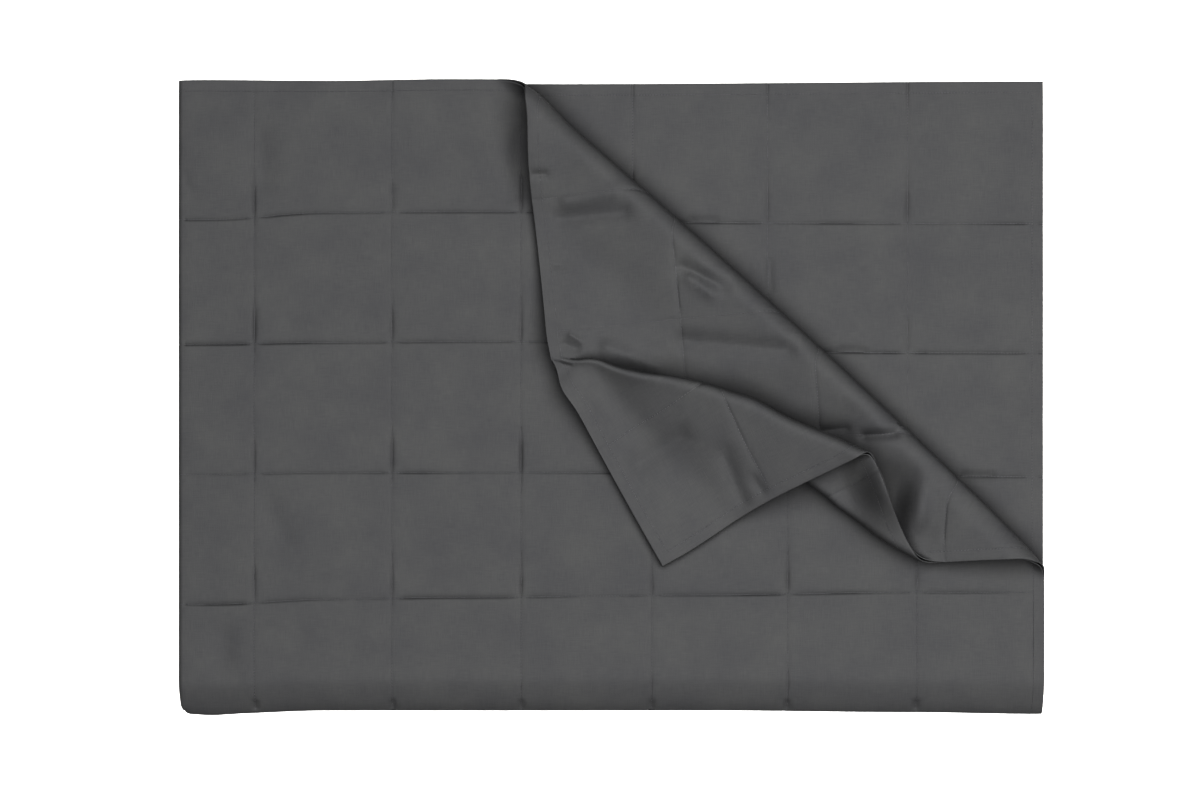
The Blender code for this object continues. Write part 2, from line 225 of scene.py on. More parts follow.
@dataclass(frozen=True)
class QuiltingLines:
    """The sewn lines that part the pockets, the hems, and how far the rows wander.

    Attributes:
        columns_above: columns from the first fold to the hem, on the top and lowest layers.
        columns_below: the same on the second and third layers.
        rows_above: rows from the second fold to the hem, on the two upper layers.
        rows_below: the same on the two lower layers.
        hem_width: from the hem's edge to its line of stitches.
        drift_v: places along v that the drift is given for.
        drift: for each place along u, how far the rows lie from straight, in millimetres.
    """

    columns_above: tuple[float, ...] = (0.0872, 0.2461, 0.3950, 0.5459, 0.7028, 0.8517, 0.9964)
    columns_below: tuple[float, ...] = (0.0657, 0.2186, 0.3715, 0.5240, 0.6796, 0.8417, 0.9915)
    rows_above: tuple[float, ...] = (0.1275, 0.2716, 0.4226, 0.5714, 0.7243)
    rows_below: tuple[float, ...] = (0.0102, 0.1525, 0.2945, 0.4365, 0.5785, 0.7205)
    hem_width: float = 0.0125
    drift_v: tuple[float, ...] = (-0.60, -0.20, 0.0, 0.1275, 0.2716, 0.4226, 0.5714, 0.7243)
    drift: tuple[tuple[float, tuple[float, ...]], ...] = (
        (-0.99, (0, 0, -4, -5, -5, -13, -12, -1)),
        (-0.45, (0, 0, 0, -4, -5, -11, -11, -4)),
        (-0.16, (0, 0, 0, -6, -4, -7, -9, -3)),
        (0.04, (0, 0, -4, -8, -2, -3, -8, 0)),
        (0.17, (0, 0, 0, -2, 0, -1, 0, -1)),
        (0.32, (0, 0, 0, 0, 0, 0, 1, 1)),
        (0.62, (0, 0, 0, 3, 0, 0, 0, 0)),
        (0.85, (0, 0, -2, 6, 0, 0, 0, 0)),
        (0.99, (0, 0, -4, 6, 0, 0, 0, 0)),
    )

    @cached_property
    def columns(self) -> Array:
        """Every line across the blanket, from one hem to the other."""
        return np.array([-c for c in reversed(self.columns_below)] + list(self.columns_above))

    @cached_property
    def rows(self) -> Array:
        """Every line along the blanket, from one hem to the other."""
        return np.array([-r for r in reversed(self.rows_below)] + list(self.rows_above))

    def sewn(self, lines: Array) -> Array:
        """The lines of stitches: the seams between pockets, and the hem's line inside each edge."""
        return np.array([lines[0] + self.hem_width, *lines[1:-1], lines[-1] - self.hem_width])

    def wander(self, u: Array, v: Array) -> Array:
        """Reads how far the rows wander.

        Args:
            u: places along the sheet.
            v: places across it.

        Returns:
            How far each point lies from its straight row, in metres.
        """
        places = np.array([place for place, _ in self.drift])
        values = millimetres(np.array([row for _, row in self.drift]))
        across = np.array(self.drift_v)
        i = np.clip(np.searchsorted(places, u) - 1, 0, len(places) - 2)
        j = np.clip(np.searchsorted(across, v) - 1, 0, len(across) - 2)
        share_u = smooth((u - places[i]) / (places[i + 1] - places[i]))
        share_v = smooth((v - across[j]) / (across[j + 1] - across[j]))
        low = values[i, j] * (1 - share_u) + values[i + 1, j] * share_u
        high = values[i, j + 1] * (1 - share_u) + values[i + 1, j + 1] * share_u
        return low * (1 - share_v) + high * share_v


def section(pieces: Sequence[tuple[float, float]], steps: int = 24) -> list[Array]:
    """A bent strip seen from its end.

    Args:
        pieces: the length of each piece, and the cloth's slope at its end.
        steps: points along each piece.

    Returns:
        The arc length, the distance and the height along the strip.
    """
    lengths, angles = [], [0.0]
    for length, end in pieces:
        start = angles[-1]
        lengths += [length / steps] * steps
        angles += [start + (end - start) * (k + 1) / steps for k in range(steps)]
    length, angle = np.array(lengths), np.array(angles)
    middle = (angle[1:] + angle[:-1]) / 2
    return [np.concatenate(([0], np.cumsum(part)))
            for part in (length, length * np.cos(middle), length * np.sin(middle))]


@dataclass(frozen=True)
class Roll:
    """The roll where the top layer's corner turns back, along a line that falls to the right.

    Attributes:
        start: where the line starts, at the top edge.
        fall: the line's angle down to the right.
        length: how long the line is.
        radius: of the roll's bend, to the middle of the quilt.
        bow: how far the roll bulges in its middle.
        bow_power: how blunt the bulge is, where 1 is a sine's arch.
        overturn: how far past half a turn it goes, so that the corner settles on the layer below.
        settle_radius: of the soft bend where the corner comes to lie level.
        rest: from the top layer's middle to the corner's, where it lies on it.
        corner: about where the sheet's corner was, as a first guess for any place of it.
        slip: how far the corner was pulled after it was turned.
        slip_from: where the pull starts, in radii past the roll's start.
        slip_over: how many radii it takes to be whole.
        half_pocket: half the quilt's thickness, which lies outside the roll's line.
        rounds: tries at finding a place of the turned corner on the flat layer.
    """

    start: tuple[float, float] = (-0.1025, 0.3543)
    fall: float = radians(42.4)
    length: float = 0.8045
    radius: float = 0.013
    bow: float = 0.0115
    bow_power: float = 0.6
    overturn: float = radians(13)
    settle_radius: float = 0.12
    rest: float = 0.0073
    corner: tuple[float, float] = (0.4995, 0.3649)
    slip: tuple[float, float] = (-0.0085, 0.0035)
    slip_from: float = 1.5
    slip_over: float = 1.6
    half_pocket: float = 0.00275
    rounds: int = 12

    @property
    def along(self) -> Array:
        """Direction along the roll."""
        return np.array((cos(self.fall), -sin(self.fall)))

    @property
    def across(self) -> Array:
        """Direction across the roll, towards the corner before it was turned."""
        return np.array((sin(self.fall), cos(self.fall)))

    @cached_property
    def shape(self) -> list[Array]:
        """Over and a little past half a turn, down a slope, and level again."""
        top = self.radius * (1 + cos(self.overturn))
        settle = self.settle_radius * (1 - cos(self.overturn))
        run = (top - self.rest - settle) / sin(self.overturn)
        full = pi + self.overturn
        far = 1.5
        return section([(self.radius * full, full), (run, full),
                        (self.settle_radius * self.overturn, pi), (far, pi)])

    def depth(self, flat: Array) -> Array:
        """Measures from the line where the roll starts.

        Args:
            flat: points of the flat top layer, an x and y for each.

        Returns:
            How far past the line each lies, below zero if before it.
        """
        away = flat - np.array(self.start)
        along = np.clip(away @ self.along / self.length, 0, 1)
        bow = self.bow * np.maximum(np.sin(along * pi), 0) ** self.bow_power
        return away @ self.across + self.radius + self.half_pocket - bow

    def turn(self, flat: Array) -> tuple[Array, Array, Array]:
        """Turns the corner back.

        Args:
            flat: points of the flat top layer, an x and y for each.

        Returns:
            Where they come to lie, how high, and how far past the roll's start they were.
        """
        depth = self.depth(flat)
        arc, run, rise = self.shape
        hold = smooth((depth - self.slip_from * self.radius) / (self.slip_over * self.radius))
        slip = np.array(self.slip) * hold[..., None]
        place = flat + (np.interp(depth, arc, run) - depth)[..., None] * self.across + slip
        return place, np.interp(depth, arc, rise), depth

    def unturn(self, place: Array) -> Array:
        """Finds a place of the turned corner on the flat layer.

        Args:
            place: its x and y in the turned corner.

        Returns:
            The point of the flat top layer that comes to lie there.
        """
        flat = np.array(self.corner)
        for _ in range(self.rounds):
            miss = place - self.turn(flat)[0]
            flat = flat + miss - 2 * (miss @ self.across) * self.across
        return flat


@dataclass(frozen=True)
class Pleat:
    """The pleat in the turned corner, which starts at its left edge and grows to the right.

    Attributes:
        start: where it starts.
        swing: how far the tip has swung round the pleat's start.
        turn: how far the cloth turns at the pleat's hollow and crest.
        panel: straight cloth between hollow and crest, for each unit of depth past that turn.
        softness: the most radius of the bend at the foot of the slope, in bend radii.
        tip_stretch: how much further out the tip lies, as a share.
        tip_bearings: between which bearings that comes in.
        formed: distance from the start where the pleat is whole.
        least: its share at the start.
        root: distance over which it comes up out of the flat cloth.
        hold_from: distance past the roll's start where the pleat begins to hold.
        hold_over: how far it takes to be whole.
        turn_back: bearings below this one belong to the far side.
        depths: the least and the most depth tried for the pleat's section.
        halvings: how often that span is halved to find it.
        distance_steps: the first and last distance that the pleat is worked out for, and how many.
        arc_steps: the same for its arc lengths.
        shape: along the pleat, the distance from its start, the bearing of its hollow and the
            slope down from its crest in degrees, and its bend radius.
    """

    start: tuple[float, float] = (-0.0724, 0.0438)
    swing: float = radians(23.8)
    turn: float = radians(168)
    panel: float = 0.05
    softness: float = 12
    tip_stretch: float = 0.04
    tip_bearings: tuple[float, float] = (radians(50), radians(80))
    formed: float = 0.17
    least: float = 0.1
    root: float = 0.006
    hold_from: float = 0.026
    hold_over: float = 0.02
    turn_back: float = radians(-150)
    depths: tuple[float, float] = (0.01, 9.0)
    halvings: int = 40
    distance_steps: tuple[float, float, int] = (0.002, 0.62, 240)
    arc_steps: tuple[float, float, int] = (-1.2, 1.8, 3001)
    shape: tuple[tuple[float, float, float, float], ...] = (
        (0.000, 5.0, 42, 0.0050),
        (0.073, 14.0, 32, 0.0057),
        (0.135, 18.8, 26, 0.0063),
        (0.190, 21.0, 22, 0.0068),
        (0.316, 24.6, 16, 0.0080),
        (0.378, 26.4, 14, 0.0080),
        (0.440, 26.8, 13, 0.0080),
        (0.620, 27.0, 12, 0.0080),
    )

    def strip(self, depth: float, slope: float, bend: float) -> list[tuple[float, float]]:
        """Sets out the pleat's section, from its hollow to the foot of its slope.

        Args:
            depth: how far the cloth turns up, and past the full turn, how much stands straight.
            slope: down from its crest.
            bend: its bend radius.

        Returns:
            The length of each piece of it, and the cloth's slope at its end.
        """
        turn, panel = min(depth, self.turn), max(0.0, depth - self.turn) * self.panel
        down = min(slope, turn)
        rise = bend * (1 - cos(turn)) + panel * sin(turn) + bend * (cos(down) - cos(turn))
        level = min(self.softness * bend, rise / (1 - cos(down)))
        run = (rise - level * (1 - cos(down))) / sin(down)
        return [(bend * turn, turn), (panel, turn), (bend * (turn + down), -down),
                (run, -down), (level * down, 0.0)]

    def section_at(self, distance: float) -> tuple[Array, Array, Array]:
        """Works out the pleat, seen from its end.

        Args:
            distance: from the pleat's start.

        Returns:
            The arc length, the distance round the start, and the height.
        """
        table = np.array(self.shape)
        hollow, slope, bend = (np.interp(distance, table[:, 0], table[:, k]) for k in (1, 2, 3))
        wanted = self.swing * distance
        folded = wanted * np.interp(distance, (0, self.formed), (self.least, 1))
        low, high = self.depths
        for _ in range(self.halvings):
            middle = (low + high) / 2
            arc, run, _ = section(self.strip(middle, radians(slope), bend))
            low, high = (middle, high) if arc[-1] - run[-1] < folded else (low, middle)
        arc, run, height = section(self.strip(low, radians(slope), bend))
        run = run - (wanted - (arc[-1] - run[-1])) * smooth(arc / arc[-1])
        start = distance * radians(hollow) - bend
        return start + arc, start + run, height

    @property
    def distances(self) -> Array:
        """The distances that the pleat is worked out for."""
        return np.linspace(*self.distance_steps)

    @property
    def arcs(self) -> Array:
        """The arc lengths that it is worked out for."""
        return np.linspace(*self.arc_steps)

    @cached_property
    def tables(self) -> tuple[Array, Array]:
        """The distance round and the height, for each distance and arc length."""
        runs, heights = [], []
        for distance in self.distances:
            arc, run, height = self.section_at(distance)
            past = np.where(self.arcs > arc[-1], run[-1] + self.arcs - arc[-1], self.arcs)
            inside = (self.arcs >= arc[0]) & (self.arcs <= arc[-1])
            runs.append(np.where(inside, np.interp(self.arcs, arc, run), past))
            heights.append(np.interp(self.arcs, arc, height, left=0, right=0))
        return np.array(runs), np.array(heights)

    @staticmethod
    def cell(value: Array, steps: Array) -> tuple[Array, Array]:
        """Which two of the even steps each value lies between, and how far along."""
        last = len(steps) - 1 - INSIDE
        place = np.clip((value - steps[0]) / (steps[1] - steps[0]), 0, last)
        return place.astype(int), place - place.astype(int)

    def look(self, table: Array, distance: Array, arc: Array) -> Array:
        """Reads one of the tables.

        Args:
            table: the distances round, or the heights.
            distance: distances from the pleat's start.
            arc: arc lengths round it.

        Returns:
            The table's value at each.
        """
        i, share_i = self.cell(distance, self.distances)
        j, share_j = self.cell(arc, self.arcs)
        near = table[i, j] * (1 - share_j) + table[i, j + 1] * share_j
        far = table[i + 1, j] * (1 - share_j) + table[i + 1, j + 1] * share_j
        return near * (1 - share_i) + far * share_i

    def polar(self, place: Array) -> tuple[Array, Array]:
        """Measures round the pleat's start.

        Args:
            place: points of the turned corner, an x and y for each.

        Returns:
            Their distances, and their bearings from +X towards -Y.
        """
        away = place - np.array(self.start)
        distance = np.maximum(np.hypot(away[..., 0], away[..., 1]), TINY)
        bearing = np.arctan2(-away[..., 1], away[..., 0])
        return distance, np.where(bearing < self.turn_back, bearing + 2 * pi, bearing)

    def bend(self, place: Array) -> tuple[Array, Array]:
        """Lays the turned corner in its pleat.

        Args:
            place: points of the turned corner before it is pleated.

        Returns:
            Where they come to lie, and how much higher.
        """
        distance, bearing = self.polar(place)
        arc = distance * bearing
        formed = smooth(distance / self.root)
        runs, heights = self.tables
        turned = bearing + (self.look(runs, distance, arc) / distance - bearing) * formed
        near, far = self.tip_bearings
        reach = distance * (1 + self.tip_stretch * smooth((bearing - near) / (far - near)))
        turned_to = np.stack((reach * np.cos(turned), -reach * np.sin(turned)), -1)
        return np.array(self.start) + turned_to, self.look(heights, distance, arc) * formed


@dataclass(frozen=True)
class Nudge:
    """A place of the turned corner that a hand has moved after folding.

    Attributes:
        at: its u and v.
        by: how far it was moved, in x, y and z.
        reach: how far around the cloth follows, along u and along v.
        rolled: whether the top of the roll follows too, or only the cloth past it.
    """

    at: tuple[float, float]
    by: tuple[float, float, float]
    reach: tuple[float, float]
    rolled: bool = False

    def share(self, u: Array, v: Array) -> Array:
        """How much of the move each point follows."""
        away_u, away_v = (u - self.at[0]) / self.reach[0], (v - self.at[1]) / self.reach[1]
        return np.exp(-away_u ** 2 - away_v ** 2)


@dataclass(frozen=True)
class Crease:
    """A soft ridge or trough, seen from above.

    Attributes:
        layer: which layer it is on.
        start: its first end.
        end: its other end.
        width: from its middle line to where it is mostly gone.
        height: how high it is, or how deep if below zero.
        touch: how many widths away it still counts.
    """

    layer: Layer
    start: tuple[float, float]
    end: tuple[float, float]
    width: float
    height: float
    touch: float = 3.0

    def touches(self, place: Array) -> Array:
        """Finds the points that the crease reaches.

        Args:
            place: points, with an x and y for each.

        Returns:
            True for each point that is near enough to be lifted.
        """
        ends = np.array((self.start, self.end))
        reach = self.touch * self.width
        low, high = ends.min(axis=0) - reach, ends.max(axis=0) + reach
        return ((place[..., :2] > low) & (place[..., :2] < high)).all(axis=-1)

    def lift(self, place: Array) -> Array:
        """Works out the crease's height.

        Args:
            place: points near it, with an x and y for each.

        Returns:
            How much it lifts the cloth at each.
        """
        start, end = np.array(self.start), np.array(self.end)
        run = end - start
        length = max(float(np.hypot(*run)), TINY)
        away = place[..., :2] - start
        along = away @ run / length
        past = np.maximum(np.abs(along - length / 2) - length / 2 + self.width, 0)
        across = away[..., 0] * run[1] / length - away[..., 1] * run[0] / length
        return self.height * np.exp(-(across / self.width) ** 2 - (past / self.width) ** 2)


@dataclass(frozen=True)
class SeamRelief:
    """How the pockets on either side of a seam rise from its stitches.

    Attributes:
        depth: of the dip at the stitches.
        before: from the seam to where the pocket is full, towards the sheet's folds.
        after: the same towards its hems, where the filling has settled against the seam.
        change: how the dip's depth varies over the blanket, as a share.
        groove: width of the narrow part, which the stitches pull.
        groove_share: that part's share of the depth.
    """

    depth: float
    before: float
    after: float
    change: SoftNoise
    groove: float = 0.0016
    groove_share: float = 0.4

    def dip(self, past: Array, u: Array, v: Array) -> Array:
        """How far the cloth lies below the full pocket.

        Args:
            past: how far past the seam each point lies, below zero if before it.
            u: its place along the sheet.
            v: its place across it.

        Returns:
            The dip, from nothing to the full depth.
        """
        away = np.abs(past)
        shoulder = np.where(past > 0, self.after, self.before)
        wide = (1 - np.clip(away / shoulder, 0, 1)) ** 2
        narrow = np.exp(-away / self.groove)
        deep = self.depth * (1 + self.change.at(u, v))
        return deep * (self.groove_share * narrow + (1 - self.groove_share) * wide)


@dataclass(frozen=True)
class Pinches:
    """The small pinches that a column's stitches draw where they cross a row or the second fold.

    Attributes:
        fold_ends: where a pinch starts and ends at the fold, from the fold's outside.
        fold_width: its width there.
        fold_height: its height there.
        least: the least length, width and share of the height where a column crosses a row.
        most: the most of each.
        slant: how far such a pinch may lean to either side.
        height: how high it is, or how deep if below zero.
        seed: which of the random sets of pinches it is.
    """

    fold_ends: tuple[float, float] = (-0.004, 0.009)
    fold_width: float = 0.0044
    fold_height: float = -0.0034
    least: tuple[float, float, float] = (0.012, 0.0030, 0.3)
    most: tuple[float, float, float] = (0.045, 0.0055, 1.3)
    slant: float = 0.0025
    height: float = -0.0011
    seed: int = 31

    def at_fold(self, x: float, edge: float) -> Crease:
        """The pinch where a column of the top layer goes over the second fold.

        Args:
            x: the column's.
            edge: the y of the fold's outside.

        Returns:
            The pinch as a crease.
        """
        start, end = self.fold_ends
        return Crease(Layer.TOP, (x, edge + start), (x, edge + end), self.fold_width,
                      self.fold_height)

    def at_row(self, layer: Layer, x: float, y: float, chance: np.random.Generator) -> Crease:
        """The pinch where a column crosses a row.

        Args:
            layer: the layer that it is on.
            x: where it starts.
            y: the same across the blanket.
            chance: the source of its length, width, depth and lean.

        Returns:
            The pinch as a crease.
        """
        length, width, deep = chance.uniform(self.least, self.most)
        slant = chance.uniform(-self.slant, self.slant)
        return Crease(layer, (x, y), (x + slant, y + length), width, self.height * deep)


@dataclass
class FoldedQuilt:
    """The whole blanket as it lies: where every point of the sheet is, and how thick it is there.

    Attributes:
        stack: its thickness and its folds.
        lines: its seams and hems.
        roll: where its corner is turned back.
        pleat: the pleat in that corner.
        nudges: places of the turned corner that lie a little off the plain fold.
        creases: soft ridges and troughs, as the cloth was left.
        handling: fine unevenness of the filling and of cloth that was washed and folded.
        eased_over: from the last column's seam, how much of the sheet was pulled out a little.
        eased_top: how far the top layer's hem was pulled.
        eased_second: the same for the second layer.
        full: how far the second fold stands out, being full of cloth.
        full_over: how much of the sheet does so.
        full_corner: the middle and reach of the corner that stands out more, and how much.
        roll_hold: how far past the roll's start a nudge of the roll is whole.
        gathers: the small puckers beside the stitches.
        gather_reach: how far from the stitches they go.
        gather_stretch: how fast they change across the seam, as a share of how fast along it.
        column_relief: how the pockets rise from the lines across the blanket.
        row_relief: the same from the lines along it.
        pinches: where the columns' stitches cross the rows and the fold.
        hem_relief: how the pockets rise from the hem's line.
        settled_at: how far past a row the pockets press most against the columns of stitches.
        settled_over: how much of the column that reaches over.
        settled: how deep the columns are elsewhere, and how much deeper there, as shares.
        crossing_ease: how much shallower the rows are where a column crosses them, as a share.
        crossing_reach: how far from the column that starts.
        bend_relief: share of the seams' depth that is left round the first fold.
        turned_relief: the same on the turned corner.
        hem_rise: how far the hem rises past its stitches.
        hem_half: half the hem's thickness at its edge.
        hem_shoulder: how far from its stitches it is full.
        lip: radius of each cloth's turned-in edge at the hem.
        lip_span: length of sheet that the lip takes up.
        pressed: how much thinner the quilt is at the pleat's root, as a share.
        pressed_reach: how far from the root that goes.
        bend_reach: how far the cloth is tight at the first fold, in half lengths of the fold.
        corner_split: the bearing from the pleat's start where the corner's creases end and the
            tip's begin.
        floor_gap: the least height of the cloth over the surface that it lies on.
        normal_step: how far apart points are taken to find which way the cloth faces.
        lower_share: share of the handling that shows on the second layer.
        tip_band: how far from the top layer's end hem the front cloth shows past the roll.
        tip_depth: how far past the roll's start it does.
        seen_past: how far past the roll's start the top layer's front cloth is still seen,
            and how far before it the turned corner's back cloth and the second layer's.
    """

    stack: LayerStack = field(default_factory=LayerStack)
    lines: QuiltingLines = field(default_factory=QuiltingLines)
    roll: Roll = field(default_factory=Roll)
    pleat: Pleat = field(default_factory=Pleat)
    nudges: tuple[Nudge, ...] = (
        Nudge((0.418, 0.724), (0.0125, 0, 0), (0.070, 0.040), rolled=True),
        Nudge((0.990, 0.315), (-0.0185, -0.0045, 0), (0.085, 0.085)),
        Nudge((0.930, 0.700), (-0.0062, -0.0036, 0), (0.200, 0.200)),
        Nudge((0.470, 0.724), (0, 0, 0.0100), (0.060, 0.028), rolled=True),
        Nudge((0.755, 0.724), (0, 0, 0.0155), (0.090, 0.034)),
        Nudge((0.775, 0.724), (-0.0042, 0, 0), (0.018, 0.034)),
        Nudge((0.738, 0.724), (0.0030, 0, 0), (0.020, 0.030)),
        Nudge((0.934, 0.301), (0, 0, 0.0110), (0.030, 0.013)),
        Nudge((0.925, 0.331), (0, 0, -0.0030), (0.024, 0.012)),
        Nudge((0.996, 0.425), (-0.0008, 0, 0.0105), (0.030, 0.060)),
        Nudge((0.954, 0.414), (0, 0, -0.0055), (0.020, 0.030)),
        Nudge((0.930, 0.318), (0, 0, -0.0090), (0.032, 0.034)),
        Nudge((0.842, 0.405), (0, 0, -0.0075), (0.030, 0.040)),
        Nudge((0.800, 0.490), (0, 0, -0.0045), (0.040, 0.050)),
        Nudge((1.000, 0.400), (-0.0022, 0.0008, 0.0190), (0.021, 0.036)),
        Nudge((0.766, 0.680), (0, 0.0100, 0.0010), (0.024, 0.022)),
        Nudge((0.790, 0.655), (0, 0.0080, 0.0010), (0.030, 0.034)),
        Nudge((0.824, 0.618), (0, 0.0100, 0), (0.030, 0.034)),
        Nudge((0.858, 0.582), (0, 0.0090, 0), (0.030, 0.034)),
        Nudge((0.892, 0.546), (0, 0.0085, 0), (0.030, 0.034)),
        Nudge((0.752, 0.716), (0, 0, -0.0070), (0.018, 0.020)),
        Nudge((0.755, 0.610), (0, 0, -0.0060), (0.022, 0.045)),
        Nudge((0.903, 0.326), (0, 0, -0.0060), (0.022, 0.030)),
        Nudge((0.968, 0.298), (0, 0, -0.0050), (0.018, 0.022)),
    )
    creases: tuple[Crease, ...] = (
        Crease(Layer.CORNER, (-0.066, 0.203), (0.024, 0.212), 0.010, -0.0044),
        Crease(Layer.CORNER, (-0.058, 0.222), (0.010, 0.236), 0.008, 0.0026),
        Crease(Layer.CORNER, (-0.092, 0.255), (-0.070, 0.255), 0.005, -0.0028),
        Crease(Layer.CORNER, (-0.070, 0.153), (-0.048, 0.149), 0.005, -0.0018),
        Crease(Layer.CORNER, (0.076, 0.152), (0.137, 0.123), 0.008, -0.0044),
        Crease(Layer.CORNER, (0.086, 0.138), (0.122, 0.112), 0.006, 0.0026),
        Crease(Layer.CORNER, (0.074, 0.066), (0.214, 0.052), 0.011, -0.0046),
        Crease(Layer.CORNER, (0.286, -0.046), (0.332, -0.043), 0.007, -0.0060),
        Crease(Layer.CORNER, (0.240, -0.040), (0.276, -0.036), 0.005, -0.0024),
        Crease(Layer.CORNER, (-0.012, 0.058), (0.062, 0.031), 0.0095, 0.0052),
        Crease(Layer.CORNER, (-0.050, 0.072), (-0.030, 0.060), 0.0042, -0.0026),
        Crease(Layer.CORNER, (-0.056, 0.061), (-0.036, 0.052), 0.0040, 0.0022),
        Crease(Layer.TIP, (0.022, -0.085), (0.092, -0.039), 0.012, -0.0040),
        Crease(Layer.TIP, (0.127, -0.057), (0.155, -0.127), 0.010, -0.0036),
        Crease(Layer.TIP, (0.161, -0.090), (0.178, -0.113), 0.007, -0.0024),
        Crease(Layer.TOP, (-0.4085, 0.315), (-0.399, 0.235), 0.016, -0.0032),
        Crease(Layer.TOP, (-0.1085, 0.312), (-0.1075, 0.222), 0.012, -0.0036),
        Crease(Layer.TOP, (-0.494, 0.262), (-0.480, 0.222), 0.005, -0.0012),
        Crease(Layer.TOP, (-0.372, 0.090), (-0.366, 0.070), 0.020, -0.0014),
        Crease(Layer.TOP, (-0.404, -0.110), (-0.370, -0.175), 0.014, -0.0022),
        Crease(Layer.TOP, (-0.208, 0.300), (-0.162, 0.285), 0.014, -0.0014),
        Crease(Layer.TOP, (-0.448, -0.262), (-0.446, -0.320), 0.014, -0.0026),
        Crease(Layer.TOP, (-0.494, 0.336), (-0.260, 0.334), 0.007, -0.0006),
        Crease(Layer.SECOND, (0.472, -0.022), (0.497, -0.030), 0.006, -0.0010),
        Crease(Layer.SECOND, (0.090, 0.204), (0.126, 0.203), 0.006, -0.0026),
        Crease(Layer.SECOND, (0.262, 0.054), (0.296, 0.053), 0.006, -0.0026),
        Crease(Layer.SECOND, (0.404, -0.091), (0.446, -0.092), 0.006, -0.0030),
        Crease(Layer.SECOND, (0.186, 0.120), (0.184, 0.160), 0.005, -0.0020),
        Crease(Layer.SECOND, (0.340, 0.250), (0.372, 0.130), 0.030, -0.0020),
    )
    handling: tuple[SoftNoise, ...] = (
        SoftNoise(0.085, 0.00060, 11),
        SoftNoise(0.036, 0.00020, 12),
    )
    eased_over: float = 0.13
    eased_top: float = 0.0020
    eased_second: float = 0.0064
    full: float = 0.0042
    full_over: float = 0.05
    full_corner: tuple[float, float, float] = (-0.463, 0.020, 0.0014)
    roll_hold: float = 0.03
    gathers: SoftNoise = field(default_factory=lambda: SoftNoise(0.0085, 0.00018, 13))
    gather_reach: float = 0.007
    gather_stretch: float = 0.2
    column_relief: SeamRelief = field(default_factory=lambda: SeamRelief(
        0.00090, 0.005, 0.005, SoftNoise(0.110, 0.9, 21)))
    row_relief: SeamRelief = field(default_factory=lambda: SeamRelief(
        0.00180, 0.0030, 0.010, SoftNoise(0.070, 0.6, 22)))
    pinches: Pinches = field(default_factory=Pinches)
    hem_relief: SeamRelief = field(default_factory=lambda: SeamRelief(
        0.00040, 0.020, 0.020, SoftNoise(0.050, 0.3, 23), groove_share=0.0))
    settled_at: float = 0.022
    settled_over: float = 0.030
    settled: tuple[float, float] = (0.4, 1.1)
    crossing_ease: float = 0.7
    crossing_reach: float = 0.016
    bend_relief: float = 0.3
    turned_relief: float = 0.5
    hem_rise: float = 0.00008
    hem_half: float = 0.00240
    hem_shoulder: float = 0.007
    lip: float = 0.0009
    lip_span: float = 0.004
    pressed: float = 0.42
    pressed_reach: float = 0.13
    bend_reach: float = 1.2
    corner_split: float = radians(33)
    floor_gap: float = 0.0005
    normal_step: float = 0.0004
    lower_share: float = 0.5
    tip_band: float = 0.09
    tip_depth: float = 0.35
    seen_past: tuple[float, float, float] = (0.02, -0.01, -0.02)

    def __post_init__(self) -> None:
        """Adds the pinches along each column of stitches."""
        made = []
        chance = np.random.default_rng(self.pinches.seed)
        for layer, side, columns in ((Layer.TOP, 1, self.lines.columns_above),
                                     (Layer.SECOND, -1, self.lines.columns_below)):
            for column in columns[:-1]:
                x = self.stack.fold_x + column - self.stack.half_fold_u
                if layer is Layer.TOP:
                    made.append(self.pinches.at_fold(x, self.stack.front_edge))
                for row in self.lines.rows_above[:-1]:
                    y = float(self.flat_place(np.array(side * column), np.array(row))[1])
                    made.append(self.pinches.at_row(layer, x, y, chance))
        self.creases = self.creases + tuple(made)

    @cached_property
    def pleat_root(self) -> Array:
        """The point of the flat top layer where the pleat starts."""
        return self.roll.unturn(np.array(self.pleat.start))

    def flat_place(self, u: Array, v: Array) -> Array:
        """Folds the sheet without turning its corner back.

        Args:
            u: places along the sheet.
            v: places across it.

        Returns:
            The middle of the quilt, an x, y and z for each point.
        """
        place = self.stack.fold(u, v)
        place[..., 1] += self.lines.wander(u, v)
        by_hem = smooth((np.abs(u) - self.lines.columns[-2]) / self.eased_over)
        for top, ease in ((u > 0, self.eased_top), (u < 0, self.eased_second)):
            place[..., 0] += ease * by_hem * np.where(top & (v > 0), 1, 0)
        by_fold = 1 - smooth((np.abs(v) - self.stack.half_fold_v) / self.full_over)
        at_corner = np.exp(-((place[..., 0] - self.full_corner[0]) / self.full_corner[1]) ** 2)
        place[..., 1] -= (self.full + self.full_corner[2] * at_corner) * by_fold
        return place

    def on_top(self, u: Array, v: Array) -> Array:
        """Which points are on the top layer."""
        return (u > self.stack.half_fold_u) & (v > self.stack.half_fold_v)

